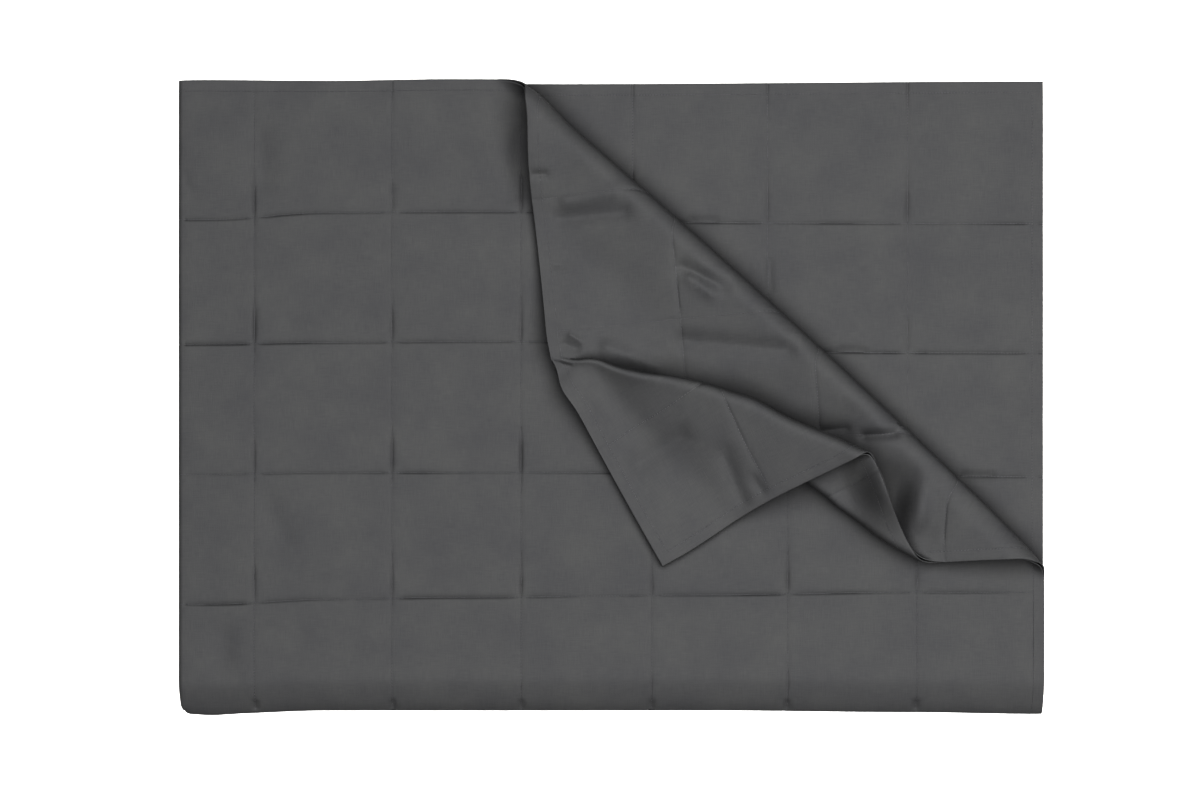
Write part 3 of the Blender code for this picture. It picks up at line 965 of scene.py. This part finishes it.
    def middle(self, u: Array, v: Array) -> Array:
        """Folds the sheet, turns its corner back, and lays in the creases.

        Args:
            u: places along the sheet.
            v: places across it.

        Returns:
            Where the middle of the quilt lies, an x, y and z for each point.
        """
        place = self.flat_place(u, v)
        turned, high, depth = self.roll.turn(place[..., :2])
        corner = self.on_top(u, v) & (depth > 0)
        bent, height = self.pleat.bend(turned)
        level = place[..., 2] + high
        hold = smooth((depth - self.pleat.hold_from) / self.pleat.hold_over)
        _, bearing = self.pleat.polar(turned)
        bent = turned + (bent - turned) * hold[..., None]
        moved = np.concatenate((bent, (level + height * hold)[..., None]), axis=-1)
        over_roll = smooth(depth / self.roll_hold)
        for nudge in self.nudges:
            share = nudge.share(u, v) * (over_roll if nudge.rolled else hold)
            moved = moved + share[..., None] * np.array(nudge.by)
        place = np.where(corner[..., None], moved, place)
        past_roll = corner & (depth > 2 * self.roll.radius)
        masks = {
            Layer.TOP: (u > 0) & (v > 0) & ~corner,
            Layer.CORNER: past_roll & (bearing < self.corner_split),
            Layer.TIP: past_roll & (bearing >= self.corner_split),
            Layer.SECOND: (u < 0) & (v > 0),
        }
        lift = sum(noise.at(u, v) for noise in self.handling)
        lift = lift * np.where((u > 0) & (v > 0), 1.0, self.lower_share)
        for crease in self.creases:
            near = masks[crease.layer] & crease.touches(place)
            lift[near] += crease.lift(place[near])
        place[..., 2] += lift
        return place

    def normal(self, u: Array, v: Array) -> Array:
        """Finds which way the front cloth faces.

        Args:
            u: places along the sheet.
            v: places across it.

        Returns:
            A unit normal for each point.
        """
        step = self.normal_step
        along = self.middle(u + step, v) - self.middle(u - step, v)
        across = self.middle(u, v + step) - self.middle(u, v - step)
        normal = np.cross(along, across)
        return normal / np.maximum(np.linalg.norm(normal, axis=-1, keepdims=True), TINY ** 2)

    def from_seam(self, value: Array, lines: Array) -> Array:
        """Measures from the stitches.

        Args:
            value: places along the sheet, or across it.
            lines: the hems and seams in that direction.

        Returns:
            How far each place lies past its nearest line of stitches, below zero if before it.
        """
        away = value[..., None] - self.lines.sewn(lines)
        nearest = np.abs(away).argmin(axis=-1)
        return np.take_along_axis(away, nearest[..., None], axis=-1)[..., 0]

    def seam_dips(self, u: Array, v: Array, past_u: Array, past_v: Array) -> Array:
        """Works out how far the stitches draw the cloth in.

        Args:
            u: places along the sheet.
            v: places across it.
            past_u: how far each lies past its nearest column of stitches.
            past_v: the same for the rows.

        Returns:
            The dip at each point, from both directions together.
        """
        dips = []
        for relief, past, value, lines in ((self.column_relief, past_u, u, self.lines.columns),
                                           (self.row_relief, past_v, v, self.lines.rows)):
            inner = np.minimum(value - lines[0], lines[-1] - value) - self.lines.hem_width
            at_hem = inner < self.hem_relief.before
            dips.append(np.where(at_hem, self.hem_relief.dip(past, u, v), relief.dip(past, u, v)))
        along_column = np.exp(-((past_v - self.settled_at) / self.settled_over) ** 2)
        crossing = 1 - smooth(np.abs(past_u) / self.crossing_reach)
        return np.hypot(dips[0] * (self.settled[0] + self.settled[1] * along_column),
                        dips[1] * (1 - self.crossing_ease * crossing))

    def half_thickness(self, u: Array, v: Array) -> Array:
        """Works out how thick the quilt is.

        Args:
            u: places along the sheet.
            v: places across it.

        Returns:
            From the middle of the quilt to the outside of either cloth, for each point.
        """
        past_u, past_v = self.from_seam(u, self.lines.columns), self.from_seam(v, self.lines.rows)
        flat, upper = self.flat_place(u, v), (u > 0) & (v > 0)
        bent = np.abs(u) < self.bend_reach * self.stack.half_fold_u
        turned = upper & (self.roll.depth(flat[..., :2]) > 0)
        tight = np.where(turned, self.turned_relief, np.where(bent, self.bend_relief, 1))
        full = self.stack.pocket / 2
        half = full - self.seam_dips(u, v, past_u, past_v) * tight
        for value, lines, past in ((u, self.lines.columns, past_u), (v, self.lines.rows, past_v)):
            sewn = self.lines.sewn(lines)
            risen = 1 - (1 - np.clip(np.abs(past) / self.hem_shoulder, 0, 1)) ** 2
            hem = full - self.hem_relief.depth * tight + self.hem_rise * risen
            in_hem = (value < sewn[0]) | (value > sewn[-1])
            half = np.where(in_hem, np.minimum(half, hem), half)
        for past, along, across in ((past_u, v, u), (past_v, u, v)):
            gather = self.gathers.at(across * self.gather_stretch, along)
            half = half + gather * np.exp(-np.abs(past) / self.gather_reach)
        bent |= (np.abs(v) < self.stack.half_fold_v) & (u < 0)
        half = np.where(bent, np.minimum(half, self.stack.bend_pocket / 2), half)
        half = np.minimum(half, full * self.stack.flatness(flat[..., 1]))
        away = flat[..., :2] - self.pleat_root
        near = (away[..., 0] ** 2 + away[..., 1] ** 2) / self.pressed_reach ** 2
        return half * (1 - self.pressed * np.where(upper, np.exp(-near), 0))

    def turn_in(self, value: Array, lines: Array) -> tuple[Array, Array]:
        """Carries what lies past the hem round its lip and back inside.

        Args:
            value: places along the sheet, or across it, which may run past the hem.
            lines: the hems and seams in that direction.

        Returns:
            The place on the sheet, and the height over the quilt's middle that the lip allows.
        """
        middle, reach = (lines[0] + lines[-1]) / 2, (lines[-1] - lines[0]) / 2 - self.lip
        past = np.maximum(np.abs(value - middle) - reach, 0)
        angle = np.minimum(past / self.lip_span, 1) * pi
        inward = np.maximum(past - self.lip_span, 0)
        place = reach + self.lip * np.sin(angle) - inward
        height = self.hem_half - self.lip + self.lip * np.cos(angle)
        on_lip = past > 0
        return (np.where(on_lip, middle + np.sign(value - middle) * place, value),
                np.where(on_lip, height, np.inf))

    def skin(self, u: Array, v: Array, side: Side) -> Array:
        """Lays one cloth on its side of the quilt.

        Args:
            u: places along the sheet, which may run past its hems.
            v: places across it.
            side: which cloth.

        Returns:
            The cloth's outside, an x, y and z for each point.
        """
        inner_u, lip_u = self.turn_in(u, self.lines.columns)
        inner_v, lip_v = self.turn_in(v, self.lines.rows)
        half = np.minimum(self.half_thickness(inner_u, inner_v), np.minimum(lip_u, lip_v))
        offset = self.normal(inner_u, inner_v) * (side.value * half)[..., None]
        place = self.middle(inner_u, inner_v) + offset
        place[..., 2] = np.maximum(place[..., 2], self.floor_gap)
        return place

    def shows(self, u: Array, v: Array, side: Side) -> Array:
        """Finds which points of a cloth can be seen from above.

        Args:
            u: places along the sheet.
            v: places across it.
            side: which cloth.

        Returns:
            True for each point that can.
        """
        depth = self.roll.depth(self.flat_place(u, v)[..., :2])
        top, second = (u > 0) & (v > 0), (u < 0) & (v > 0)
        front_past, corner_past, second_past = self.seen_past
        if side is Side.FRONT:
            by_hem = (u > self.lines.columns[-1] - self.tip_band) & (depth < self.tip_depth)
            return top & ((depth < front_past) | by_hem)
        return (top & (depth > corner_past)) | (second & (depth > second_past))


def linear(code: str) -> tuple[float, float, float, float]:
    """Turns a colour to linear.

    Args:
        code: an sRGB hex colour.

    Returns:
        Its linear red, green, blue and alpha.
    """
    parts = [int(code[k:k + 2], 16) / 255 for k in (1, 3, 5)]
    made = [c / 12.92 if c <= 0.04045 else ((c + 0.055) / 1.055) ** 2.4 for c in parts]
    return (*made, 1.0)


def add_node(tree: bpy.types.NodeTree, kind: str, inputs: dict | None = None,
             **settings: object) -> bpy.types.Node:
    """Adds a node to a material.

    Args:
        tree: the material's node tree.
        kind: the node's Blender type.
        inputs: a value, or another node's output, for each input named here.
        settings: the node's own settings.

    Returns:
        The new node.
    """
    node = tree.nodes.new(kind)
    for name, value in settings.items():
        setattr(node, name, value)
    for name, value in (inputs or {}).items():
        if isinstance(value, bpy.types.NodeSocket):
            tree.links.new(value, node.inputs[name])
        else:
            node.inputs[name].default_value = value
    return node


def empty_material(name: str) -> bpy.types.Material:
    """Makes a material with no nodes yet.

    Args:
        name: its name.

    Returns:
        The material.
    """
    material = bpy.data.materials.new(name)
    material.use_nodes = True
    material.node_tree.nodes.clear()
    return material


@dataclass(frozen=True)
class CottonSateen:
    """Woven, dyed and washed cotton sateen: matt, with a faint soft sheen along its floats.

    The floats run along the blanket. Slubs, thicker stretches of yarn, show as fine streaks both
    ways, and washing leaves faint clouds of lighter and darker cloth.

    Attributes:
        name: the finish's name.
        light: the cloth where it is lightest.
        dark: the cloth where it is darkest.
        yarn: from one yarn to the next, in millimetres.
        slub: a slub's length, in millimetres.
        cloud: from one cloud to the next, in millimetres.
        weave_share: how much the streaks count in the shade, next to the clouds.
        shades: the shade that gives the dark cloth, and the one that gives the light cloth.
        roughness: the least and the most.
        ior: of cotton.
        sheen: how much light its loose fibres catch.
        sheen_roughness: how widely they spread it.
        bump: how much of the yarns' height counts.
        bump_depth: how far the yarns stand out, in metres.
    """

    name: str = "cotton_sateen"
    light: str = "#545454"
    dark: str = "#4e4e4f"
    yarn: float = 0.9  # the real yarns, 0.3 mm apart, are too fine to show, so drawn coarser
    slub: float = 16.0
    cloud: float = 55.0
    weave_share: float = 0.6
    shades: tuple[float, float] = (0.80, 1.40)
    roughness: tuple[float, float] = (0.72, 0.80)
    ior: float = 1.45
    sheen: float = 0.04
    sheen_roughness: float = 0.5
    bump: float = 0.30
    bump_depth: float = 0.00025

    def streaks(self, tree: bpy.types.NodeTree, place: bpy.types.NodeSocket,
                scale: tuple[float, float, float]) -> bpy.types.NodeSocket:
        """Adds fine streaks of uneven yarn.

        Args:
            tree: the material's node tree.
            place: the point's place on the flat sheet.
            scale: streaks in a metre, along the sheet, across it and through it.

        Returns:
            Their shade, from 0 to 1.
        """
        mapped = add_node(tree, "ShaderNodeMapping", {"Vector": place, "Scale": scale})
        noise = add_node(tree, "ShaderNodeTexNoise", {
            "Vector": mapped.outputs["Vector"], "Scale": 1.0, "Detail": 2.0, "Roughness": 0.6})
        return noise.outputs["Fac"]

    def build(self) -> bpy.types.Material:
        """The cloth's material, from the places of its points on the flat sheet."""
        material = empty_material(self.name)
        tree = material.node_tree
        place = add_node(tree, "ShaderNodeAttribute", attribute_name=PLACE_ATTRIBUTE)
        vector = place.outputs["Vector"]
        thin, long = 1 / millimetres(self.yarn), 1 / millimetres(self.slub)
        warp = self.streaks(tree, vector, (long, thin, 1.0))
        weft = self.streaks(tree, vector, (thin, long, 1.0))
        weave = add_node(tree, "ShaderNodeMath", {0: warp, 1: weft}, operation="ADD")
        cloud = add_node(tree, "ShaderNodeTexNoise", {
            "Vector": vector, "Scale": 1 / millimetres(self.cloud), "Detail": 3.0,
            "Roughness": 0.55})
        shade = add_node(tree, "ShaderNodeMath", {
            0: weave.outputs[0], 1: self.weave_share, 2: cloud.outputs["Fac"]},
            operation="MULTIPLY_ADD")
        dark, light = self.shades
        share = add_node(tree, "ShaderNodeMapRange", {
            "Value": shade.outputs[0], "From Min": dark, "From Max": light})
        colour = add_node(tree, "ShaderNodeMix", {
            "Factor": share.outputs["Result"], "A": linear(self.dark), "B": linear(self.light)},
            data_type="RGBA")
        low, high = self.roughness
        rough = add_node(tree, "ShaderNodeMapRange", {
            "Value": cloud.outputs["Fac"], "To Min": low, "To Max": high})
        bump = add_node(tree, "ShaderNodeBump", {
            "Height": weave.outputs[0], "Strength": self.bump, "Distance": self.bump_depth})
        shader = add_node(tree, "ShaderNodeBsdfPrincipled", {
            "Base Color": colour.outputs["Result"], "Roughness": rough.outputs["Result"],
            "Normal": bump.outputs["Normal"], "IOR": self.ior, "Sheen Weight": self.sheen,
            "Sheen Roughness": self.sheen_roughness})
        add_node(tree, "ShaderNodeOutputMaterial", {"Surface": shader.outputs["BSDF"]})
        return material


@dataclass(frozen=True)
class PlainFinish:
    """A finish of one colour, whose shade drifts a little from place to place.

    Attributes:
        name: the finish's name.
        light: its lightest shade.
        dark: its darkest shade.
        patch: how soon the shade changes, in millimetres.
        detail: how many finer steps the change has.
        roughness: of its surface.
        sheen: how much light its loose fibres catch.
        sheen_roughness: how widely they spread it.
    """

    name: str
    light: str
    dark: str
    patch: float
    detail: float = 2.0
    roughness: float = 0.5
    sheen: float = 0.0
    sheen_roughness: float = 0.5

    def build(self) -> bpy.types.Material:
        """The finish as a material, its patches set out over the piece itself."""
        material = empty_material(self.name)
        tree = material.node_tree
        place = add_node(tree, "ShaderNodeTexCoord")
        noise = add_node(tree, "ShaderNodeTexNoise", {
            "Vector": place.outputs["Object"], "Scale": 1 / millimetres(self.patch),
            "Detail": self.detail})
        colour = add_node(tree, "ShaderNodeMix", {
            "Factor": noise.outputs["Fac"], "A": linear(self.dark), "B": linear(self.light)},
            data_type="RGBA")
        shader = add_node(tree, "ShaderNodeBsdfPrincipled", {
            "Base Color": colour.outputs["Result"], "Roughness": self.roughness,
            "Sheen Weight": self.sheen, "Sheen Roughness": self.sheen_roughness})
        add_node(tree, "ShaderNodeOutputMaterial", {"Surface": shader.outputs["BSDF"]})
        return material


@dataclass(frozen=True)
class PolyesterThread(PlainFinish):
    """Spun polyester sewing thread, dyed to go with the cloth: its stitches catch the light, and
    shades lighter than the cloth's are partly painted sheen.
    """

    patch: float = 20.0
    detail: float = 4.0
    sheen: float = 0.2
    sheen_roughness: float = 0.3


@dataclass(frozen=True)
class MattBoard(PlainFinish):
    """Painted and lightly rolled studio board: pale, even and with no shine.

    Under the lamp it renders white, so it needn't be white itself, and so throws less light up.
    """

    name: str = "matt_board"
    light: str = "#c3c3c2"
    dark: str = "#bfbfbe"
    patch: float = 4.0
    roughness: float = 0.95


def link_piece(name: str, mesh: bpy.types.Mesh, finish: bpy.types.Material) -> bpy.types.Object:
    """Puts a mesh in the scene as a piece that rides on the blanket's body.

    Args:
        name: the piece's name.
        mesh: its shape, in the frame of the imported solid.
        finish: its material.

    Returns:
        The piece.
    """
    mesh.materials.append(finish)
    mesh.shade_smooth()
    piece = bpy.data.objects.new(name, mesh)
    bpy.context.scene.collection.objects.link(piece)
    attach(piece, BODY)
    return piece


@dataclass
class ClothPanel:
    """One of the blanket's two cloths, cut flat, sewn in pockets and turned in at its edges.

    Attributes:
        quilt: the blanket that it is part of.
        side: which cloth it is.
        name: the piece's name.
        finish: what it is woven of.
        hidden_step: spacing of its points where it doesn't show.
        shown_step: the most between points where it shows.
        seam_step: the most between points beside a seam that shows.
        seam_band: how far from a seam that holds.
        offsets: lines of points beside each seam.
        hem_offsets: the same beside the hem's stitches, on the hem.
        lip_steps: steps round the hem's turned-in edge.
        lip_tuck: how far the cloth goes in past it.
        bend_steps: steps round each fold.
        bend_limit: the most that the cloth turns from one point to the next.
        hidden_bend_limit: the same where it doesn't show.
        shortest: points aren't set nearer than this for that.
        hidden_shortest: the same where it doesn't show.
        passes: how often points are added.
    """

    quilt: FoldedQuilt
    side: Side
    name: str
    finish: CottonSateen = field(default_factory=CottonSateen)
    hidden_step: float = 0.014
    shown_step: float = 0.0078
    seam_step: float = 0.0039
    seam_band: float = 0.009
    offsets: tuple[float, ...] = (0.0018, 0.0055, 0.011, 0.019)
    hem_offsets: tuple[float, ...] = (0.0018, 0.005, 0.009)
    lip_steps: int = 6
    lip_tuck: float = 0.003
    bend_steps: int = 8
    bend_limit: float = radians(11)
    hidden_bend_limit: float = radians(24)
    shortest: float = 0.0014
    hidden_shortest: float = 0.0028
    passes: int = 3

    def points_along(self, lines: Array, bend: float) -> Array:
        """Where the sheet has lines of points.

        Args:
            lines: the hems and seams in this direction.
            bend: half the length that a fold takes up.

        Returns:
            The places, from past one hem to past the other.
        """
        sewn = self.quilt.lines.sewn(lines)
        found = list(sewn)
        for low, high in zip(sewn[:-1], sewn[1:]):
            inner_low, inner_high = low + self.offsets[-1], high - self.offsets[-1]
            if inner_high > inner_low:
                count = max(1, round((inner_high - inner_low) / self.hidden_step))
                found += [low + offset for offset in self.offsets[:-1]]
                found += [high - offset for offset in self.offsets[:-1]]
                found += list(np.linspace(inner_low, inner_high, count + 1))
        found = [place for place in found if abs(place) > bend + self.offsets[0] / 2]
        found += list(np.linspace(-bend, bend, self.bend_steps + 1))
        for stitched, edge, sign in ((sewn[0], lines[0], -1), (sewn[-1], lines[-1], 1)):
            found += [stitched + sign * offset for offset in self.hem_offsets]
            lip = edge - sign * self.quilt.lip
            steps = np.linspace(0, self.quilt.lip_span, self.lip_steps + 1)
            found += [lip + sign * step for step in (*steps, steps[-1] + self.lip_tuck)]
        return np.array(sorted(found))

    def cut(self) -> bmesh.types.BMesh:
        """The flat cloth, in sheet coordinates."""
        stack, lines = self.quilt.stack, self.quilt.lines
        places_u = self.points_along(lines.columns, stack.half_fold_u)
        places_v = self.points_along(lines.rows, stack.half_fold_v)
        count_u, count_v = len(places_u) - 1, len(places_v) - 1
        cloth = bmesh.new()
        bmesh.ops.create_grid(cloth, x_segments=count_u, y_segments=count_v, size=0.5)
        for vert in cloth.verts:
            column, row = round((vert.co.x + 0.5) * count_u), round((vert.co.y + 0.5) * count_v)
            vert.co = (places_u[column], places_v[row], 0)
        return cloth

    def settle(self, cloth: bmesh.types.BMesh) -> tuple[Array, Array, Array]:
        """Works out where the cloth lies.

        Args:
            cloth: the flat cloth, which is left flat.

        Returns:
            For each of its points, the place on the flat sheet, where it lies, and its normal.
        """
        flat = np.array([vert.co for vert in cloth.verts])
        lying = self.quilt.skin(flat[:, 0], flat[:, 1], self.side)
        for vert, place in zip(cloth.verts, lying):
            vert.co = place
        cloth.normal_update()
        normals = np.array([vert.normal for vert in cloth.verts])
        for vert, place in zip(cloth.verts, flat):
            vert.co = place
        return flat, lying, normals

    def refine(self, cloth: bmesh.types.BMesh) -> None:
        """Adds points to the flat cloth where it shows, beside seams, and where it bends.

        Args:
            cloth: the flat cloth, which gets the points.
        """
        for _ in range(self.passes):
            flat, lying, normals = self.settle(cloth)
            cloth.verts.index_update()
            ends = np.array([[vert.index for vert in edge.verts] for edge in cloth.edges])
            first, second = ends.T
            length = np.linalg.norm(lying[first] - lying[second], axis=1)
            turn = np.arccos(np.clip((normals[first] * normals[second]).sum(axis=1), -1, 1))
            u, v = ((flat[first] + flat[second]) / 2)[:, :2].T
            past_u = self.quilt.from_seam(u, self.quilt.lines.columns)
            past_v = self.quilt.from_seam(v, self.quilt.lines.rows)
            beside = np.minimum(np.abs(past_u), np.abs(past_v)) < self.seam_band
            most = np.where(beside, self.seam_step, self.shown_step)
            shows = self.quilt.shows(u, v, self.side)
            bends = (turn > np.where(shows, self.bend_limit, self.hidden_bend_limit))
            bends &= length > np.where(shows, self.shortest, self.hidden_shortest)
            wanted = (shows & (length > most)) | bends
            cloth.edges.ensure_lookup_table()
            bmesh.ops.subdivide_edges(
                cloth, edges=[cloth.edges[k] for k in np.flatnonzero(wanted)],
                cuts=1, use_grid_fill=True, use_single_edge=True)

    def build(self) -> bpy.types.Object:
        """Cuts, folds and dresses the cloth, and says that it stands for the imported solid."""
        cloth = self.cut()
        self.refine(cloth)
        flat, lying, _ = self.settle(cloth)
        if self.side is Side.BACK:
            bmesh.ops.reverse_faces(cloth, faces=cloth.faces)
        mesh = bpy.data.meshes.new(self.name)
        cloth.to_mesh(mesh)
        cloth.free()
        mesh.vertices.foreach_set("co", lying.astype(np.float32).ravel())
        places = mesh.attributes.new(PLACE_ATTRIBUTE, "FLOAT_VECTOR", "POINT")
        places.data.foreach_set("vector", flat.astype(np.float32).ravel())
        mesh.update()
        piece = link_piece(self.name, mesh, self.finish.build())
        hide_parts(NODE)
        report(piece)
        return piece


@dataclass
class Stitching:
    """The lines of machine stitches on one cloth, where they can be seen.

    The stitches are about half as thick again as real ones, which are too fine to show.

    Attributes:
        quilt: the blanket that they hold together.
        side: which cloth they lie on.
        name: the piece's name.
        finish: the thread.
        pitch: from one stitch to the next.
        length: of each stitch.
        thickness: of the thread.
        lift: the thread's middle over the cloth.
        sunk: how far its ends go in.
        round_steps: sides of the thread.
        along: where the thread bends, as shares of the stitch's length from its middle.
    """

    quilt: FoldedQuilt
    side: Side
    name: str
    finish: PolyesterThread
    pitch: float = 0.0034
    length: float = 0.0026
    thickness: float = 0.00055
    lift: float = 0.00008
    sunk: float = 0.00035
    round_steps: int = 3
    along: tuple[float, ...] = (-0.5, -0.3, 0.3, 0.5)

    def centres(self) -> tuple[Array, Array]:
        """The middle of each stitch on the sheet, and its direction."""
        places, directions = [], []
        columns, rows = self.quilt.lines.columns, self.quilt.lines.rows
        hem = self.quilt.lines.hem_width
        for lines, other, axis in ((columns, rows, 0), (rows, columns, 1)):
            run = np.arange(other[0] + hem, other[-1] - hem, self.pitch)
            for line in self.quilt.lines.sewn(lines):
                place = np.full((len(run), 2), line)
                place[:, 1 - axis] = run
                direction = np.zeros((len(run), 2))
                direction[:, 1 - axis] = 1
                places.append(place)
                directions.append(direction)
        place, direction = np.concatenate(places), np.concatenate(directions)
        u, v = place.T
        seen = self.quilt.shows(u, v, self.side)
        if self.side is Side.FRONT:
            seen |= (u > 0) & (v < 0)
        return place[seen], direction[seen]

    def build(self) -> bpy.types.Object:
        """Lays every stitch along the cloth, as one joined mesh."""
        place, direction = self.centres()
        count, rings, sides = len(place), len(self.along), self.round_steps
        points = place[:, None] + direction[:, None] * (np.array(self.along) * self.length)[:, None]
        u, v = points[..., 0].ravel(), points[..., 1].ravel()
        normal = (self.quilt.normal(u, v) * self.side.value).reshape(count, rings, 3)
        middle = self.quilt.skin(u, v, self.side).reshape(count, rings, 3)
        lift = np.array([-self.sunk, self.lift, self.lift, -self.sunk])
        middle = middle + normal * lift[:, None]
        tangent = np.gradient(middle, axis=1)
        across = np.cross(normal, tangent)
        across /= np.maximum(np.linalg.norm(across, axis=-1, keepdims=True), TINY)
        turns = np.arange(sides) / sides * 2 * pi
        ring = (across[:, :, None] * np.cos(turns)[:, None]
                + normal[:, :, None] * np.sin(turns)[:, None]) * self.thickness / 2
        verts = (middle[:, :, None] + ring).reshape(-1, 3)
        quads = [(r * sides + s, r * sides + (s + 1) % sides,
                  (r + 1) * sides + (s + 1) % sides, (r + 1) * sides + s)
                 for r in range(rings - 1) for s in range(sides)]
        faces = (np.array(quads) + (np.arange(count) * rings * sides)[:, None, None]).reshape(-1, 4)
        mesh = bpy.data.meshes.new(self.name)
        mesh.from_pydata(verts.tolist(), [], faces.tolist())
        mesh.update()
        piece = link_piece(self.name, mesh, self.finish.build())
        report(piece)
        return piece


@dataclass(frozen=True)
class SoftBox:
    """A square studio lamp with a diffuser.

    Attributes:
        name: the lamp's name.
        place: where it is.
        towards: what it points at.
        size: the length of its sides.
        power: in watts.
    """

    name: str
    place: tuple[float, float, float]
    towards: tuple[float, float, float]
    size: float
    power: float

    def build(self) -> bpy.types.Object:
        """Hangs the lamp."""
        light = bpy.data.lights.new(self.name, "AREA")
        light.shape = "SQUARE"
        light.size = self.size
        light.energy = self.power
        lamp = bpy.data.objects.new(self.name, light)
        lamp.location = self.place
        look = Vector(self.towards) - Vector(self.place)
        lamp.rotation_euler = look.to_track_quat("-Z", "Y").to_euler()
        bpy.context.scene.collection.objects.link(lamp)
        return lamp


@dataclass
class Studio:
    """A pale board under one wide soft lamp, and a camera straight above.

    Attributes:
        camera_place: where the camera is.
        lens: its focal length in millimetres.
        sensor: the width of its sensor, in millimetres.
        view: how the picture's light is turned to its colours.
        contrast: the picture's gamma, below 1 for deeper shade on the dark cloth.
        board_size: the length of the board's sides.
        sky: brightness of the room's own light.
        finish: what the board is.
        lamp: the lamp over it.
    """

    camera_place: tuple[float, float, float] = (-0.0121, -0.0058, 3.10)
    lens: float = 80.0
    sensor: float = 36.0
    view: str = "Standard"
    contrast: float = 0.36
    board_size: float = 16.0
    sky: float = 0.289
    finish: MattBoard = field(default_factory=MattBoard)
    lamp: SoftBox = SoftBox("overhead_lamp", (0.8, 0.1, 3.5), (0.8, 0.1, 0), 7.5, 1149)

    def lay_board(self) -> None:
        """Lays the board that the blanket lies on."""
        board = bmesh.new()
        bmesh.ops.create_grid(board, x_segments=1, y_segments=1, size=self.board_size / 2)
        mesh = bpy.data.meshes.new("board")
        board.to_mesh(mesh)
        board.free()
        mesh.materials.append(self.finish.build())
        floor = bpy.data.objects.new("board", mesh)
        bpy.context.scene.collection.objects.link(floor)

    def light_room(self) -> None:
        """Sets up the lamp and the room's own light."""
        self.lamp.build()
        world = bpy.data.worlds.new("room")
        world.use_nodes = True
        world.node_tree.nodes["Background"].inputs["Color"].default_value = (1, 1, 1, 1)
        world.node_tree.nodes["Background"].inputs["Strength"].default_value = self.sky
        bpy.context.scene.world = world

    def set_camera(self) -> None:
        """Sets up the camera and the picture's contrast."""
        scene = bpy.context.scene
        camera = bpy.data.cameras.new("camera")
        camera.lens = self.lens
        camera.sensor_width = self.sensor
        made = bpy.data.objects.new("camera", camera)
        made.location = self.camera_place
        scene.collection.objects.link(made)
        scene.camera = made
        scene.view_settings.view_transform = self.view
        scene.view_settings.gamma = self.contrast

    def build(self) -> None:
        """Sets up the whole studio."""
        self.lay_board()
        self.light_room()
        self.set_camera()


def report(piece: bpy.types.Object) -> None:
    """Logs a piece and how many triangles it has."""
    piece.data.calc_loop_triangles()
    log.info("%s: %d triangles", piece.name, len(piece.data.loop_triangles))


def main() -> None:
    """Builds the blanket's cloths and stitching, then the studio."""
    logging.basicConfig(level=logging.INFO, format="%(name)s: %(message)s")
    quilt = FoldedQuilt()
    front = ClothPanel(quilt, Side.FRONT, "front_cloth").build()
    back = ClothPanel(quilt, Side.BACK, "back_cloth").build()
    top_thread = PolyesterThread("top_thread", light="#565658", dark="#4c4c4e")
    # The bobbin thread's lighter shades are partly its own colour and partly painted sheen, so that
    # its stitches show as bright dots.
    bobbin_thread_painted_sheen = PolyesterThread("bobbin_thread_painted_sheen", light="#686869", dark="#565659")
    front_stitches = Stitching(quilt, Side.FRONT, "front_stitches", top_thread).build()
    back_stitches = Stitching(quilt, Side.BACK, "back_stitches", bobbin_thread_painted_sheen).build()
    Studio().build()


if __name__ == "__main__":
    main()
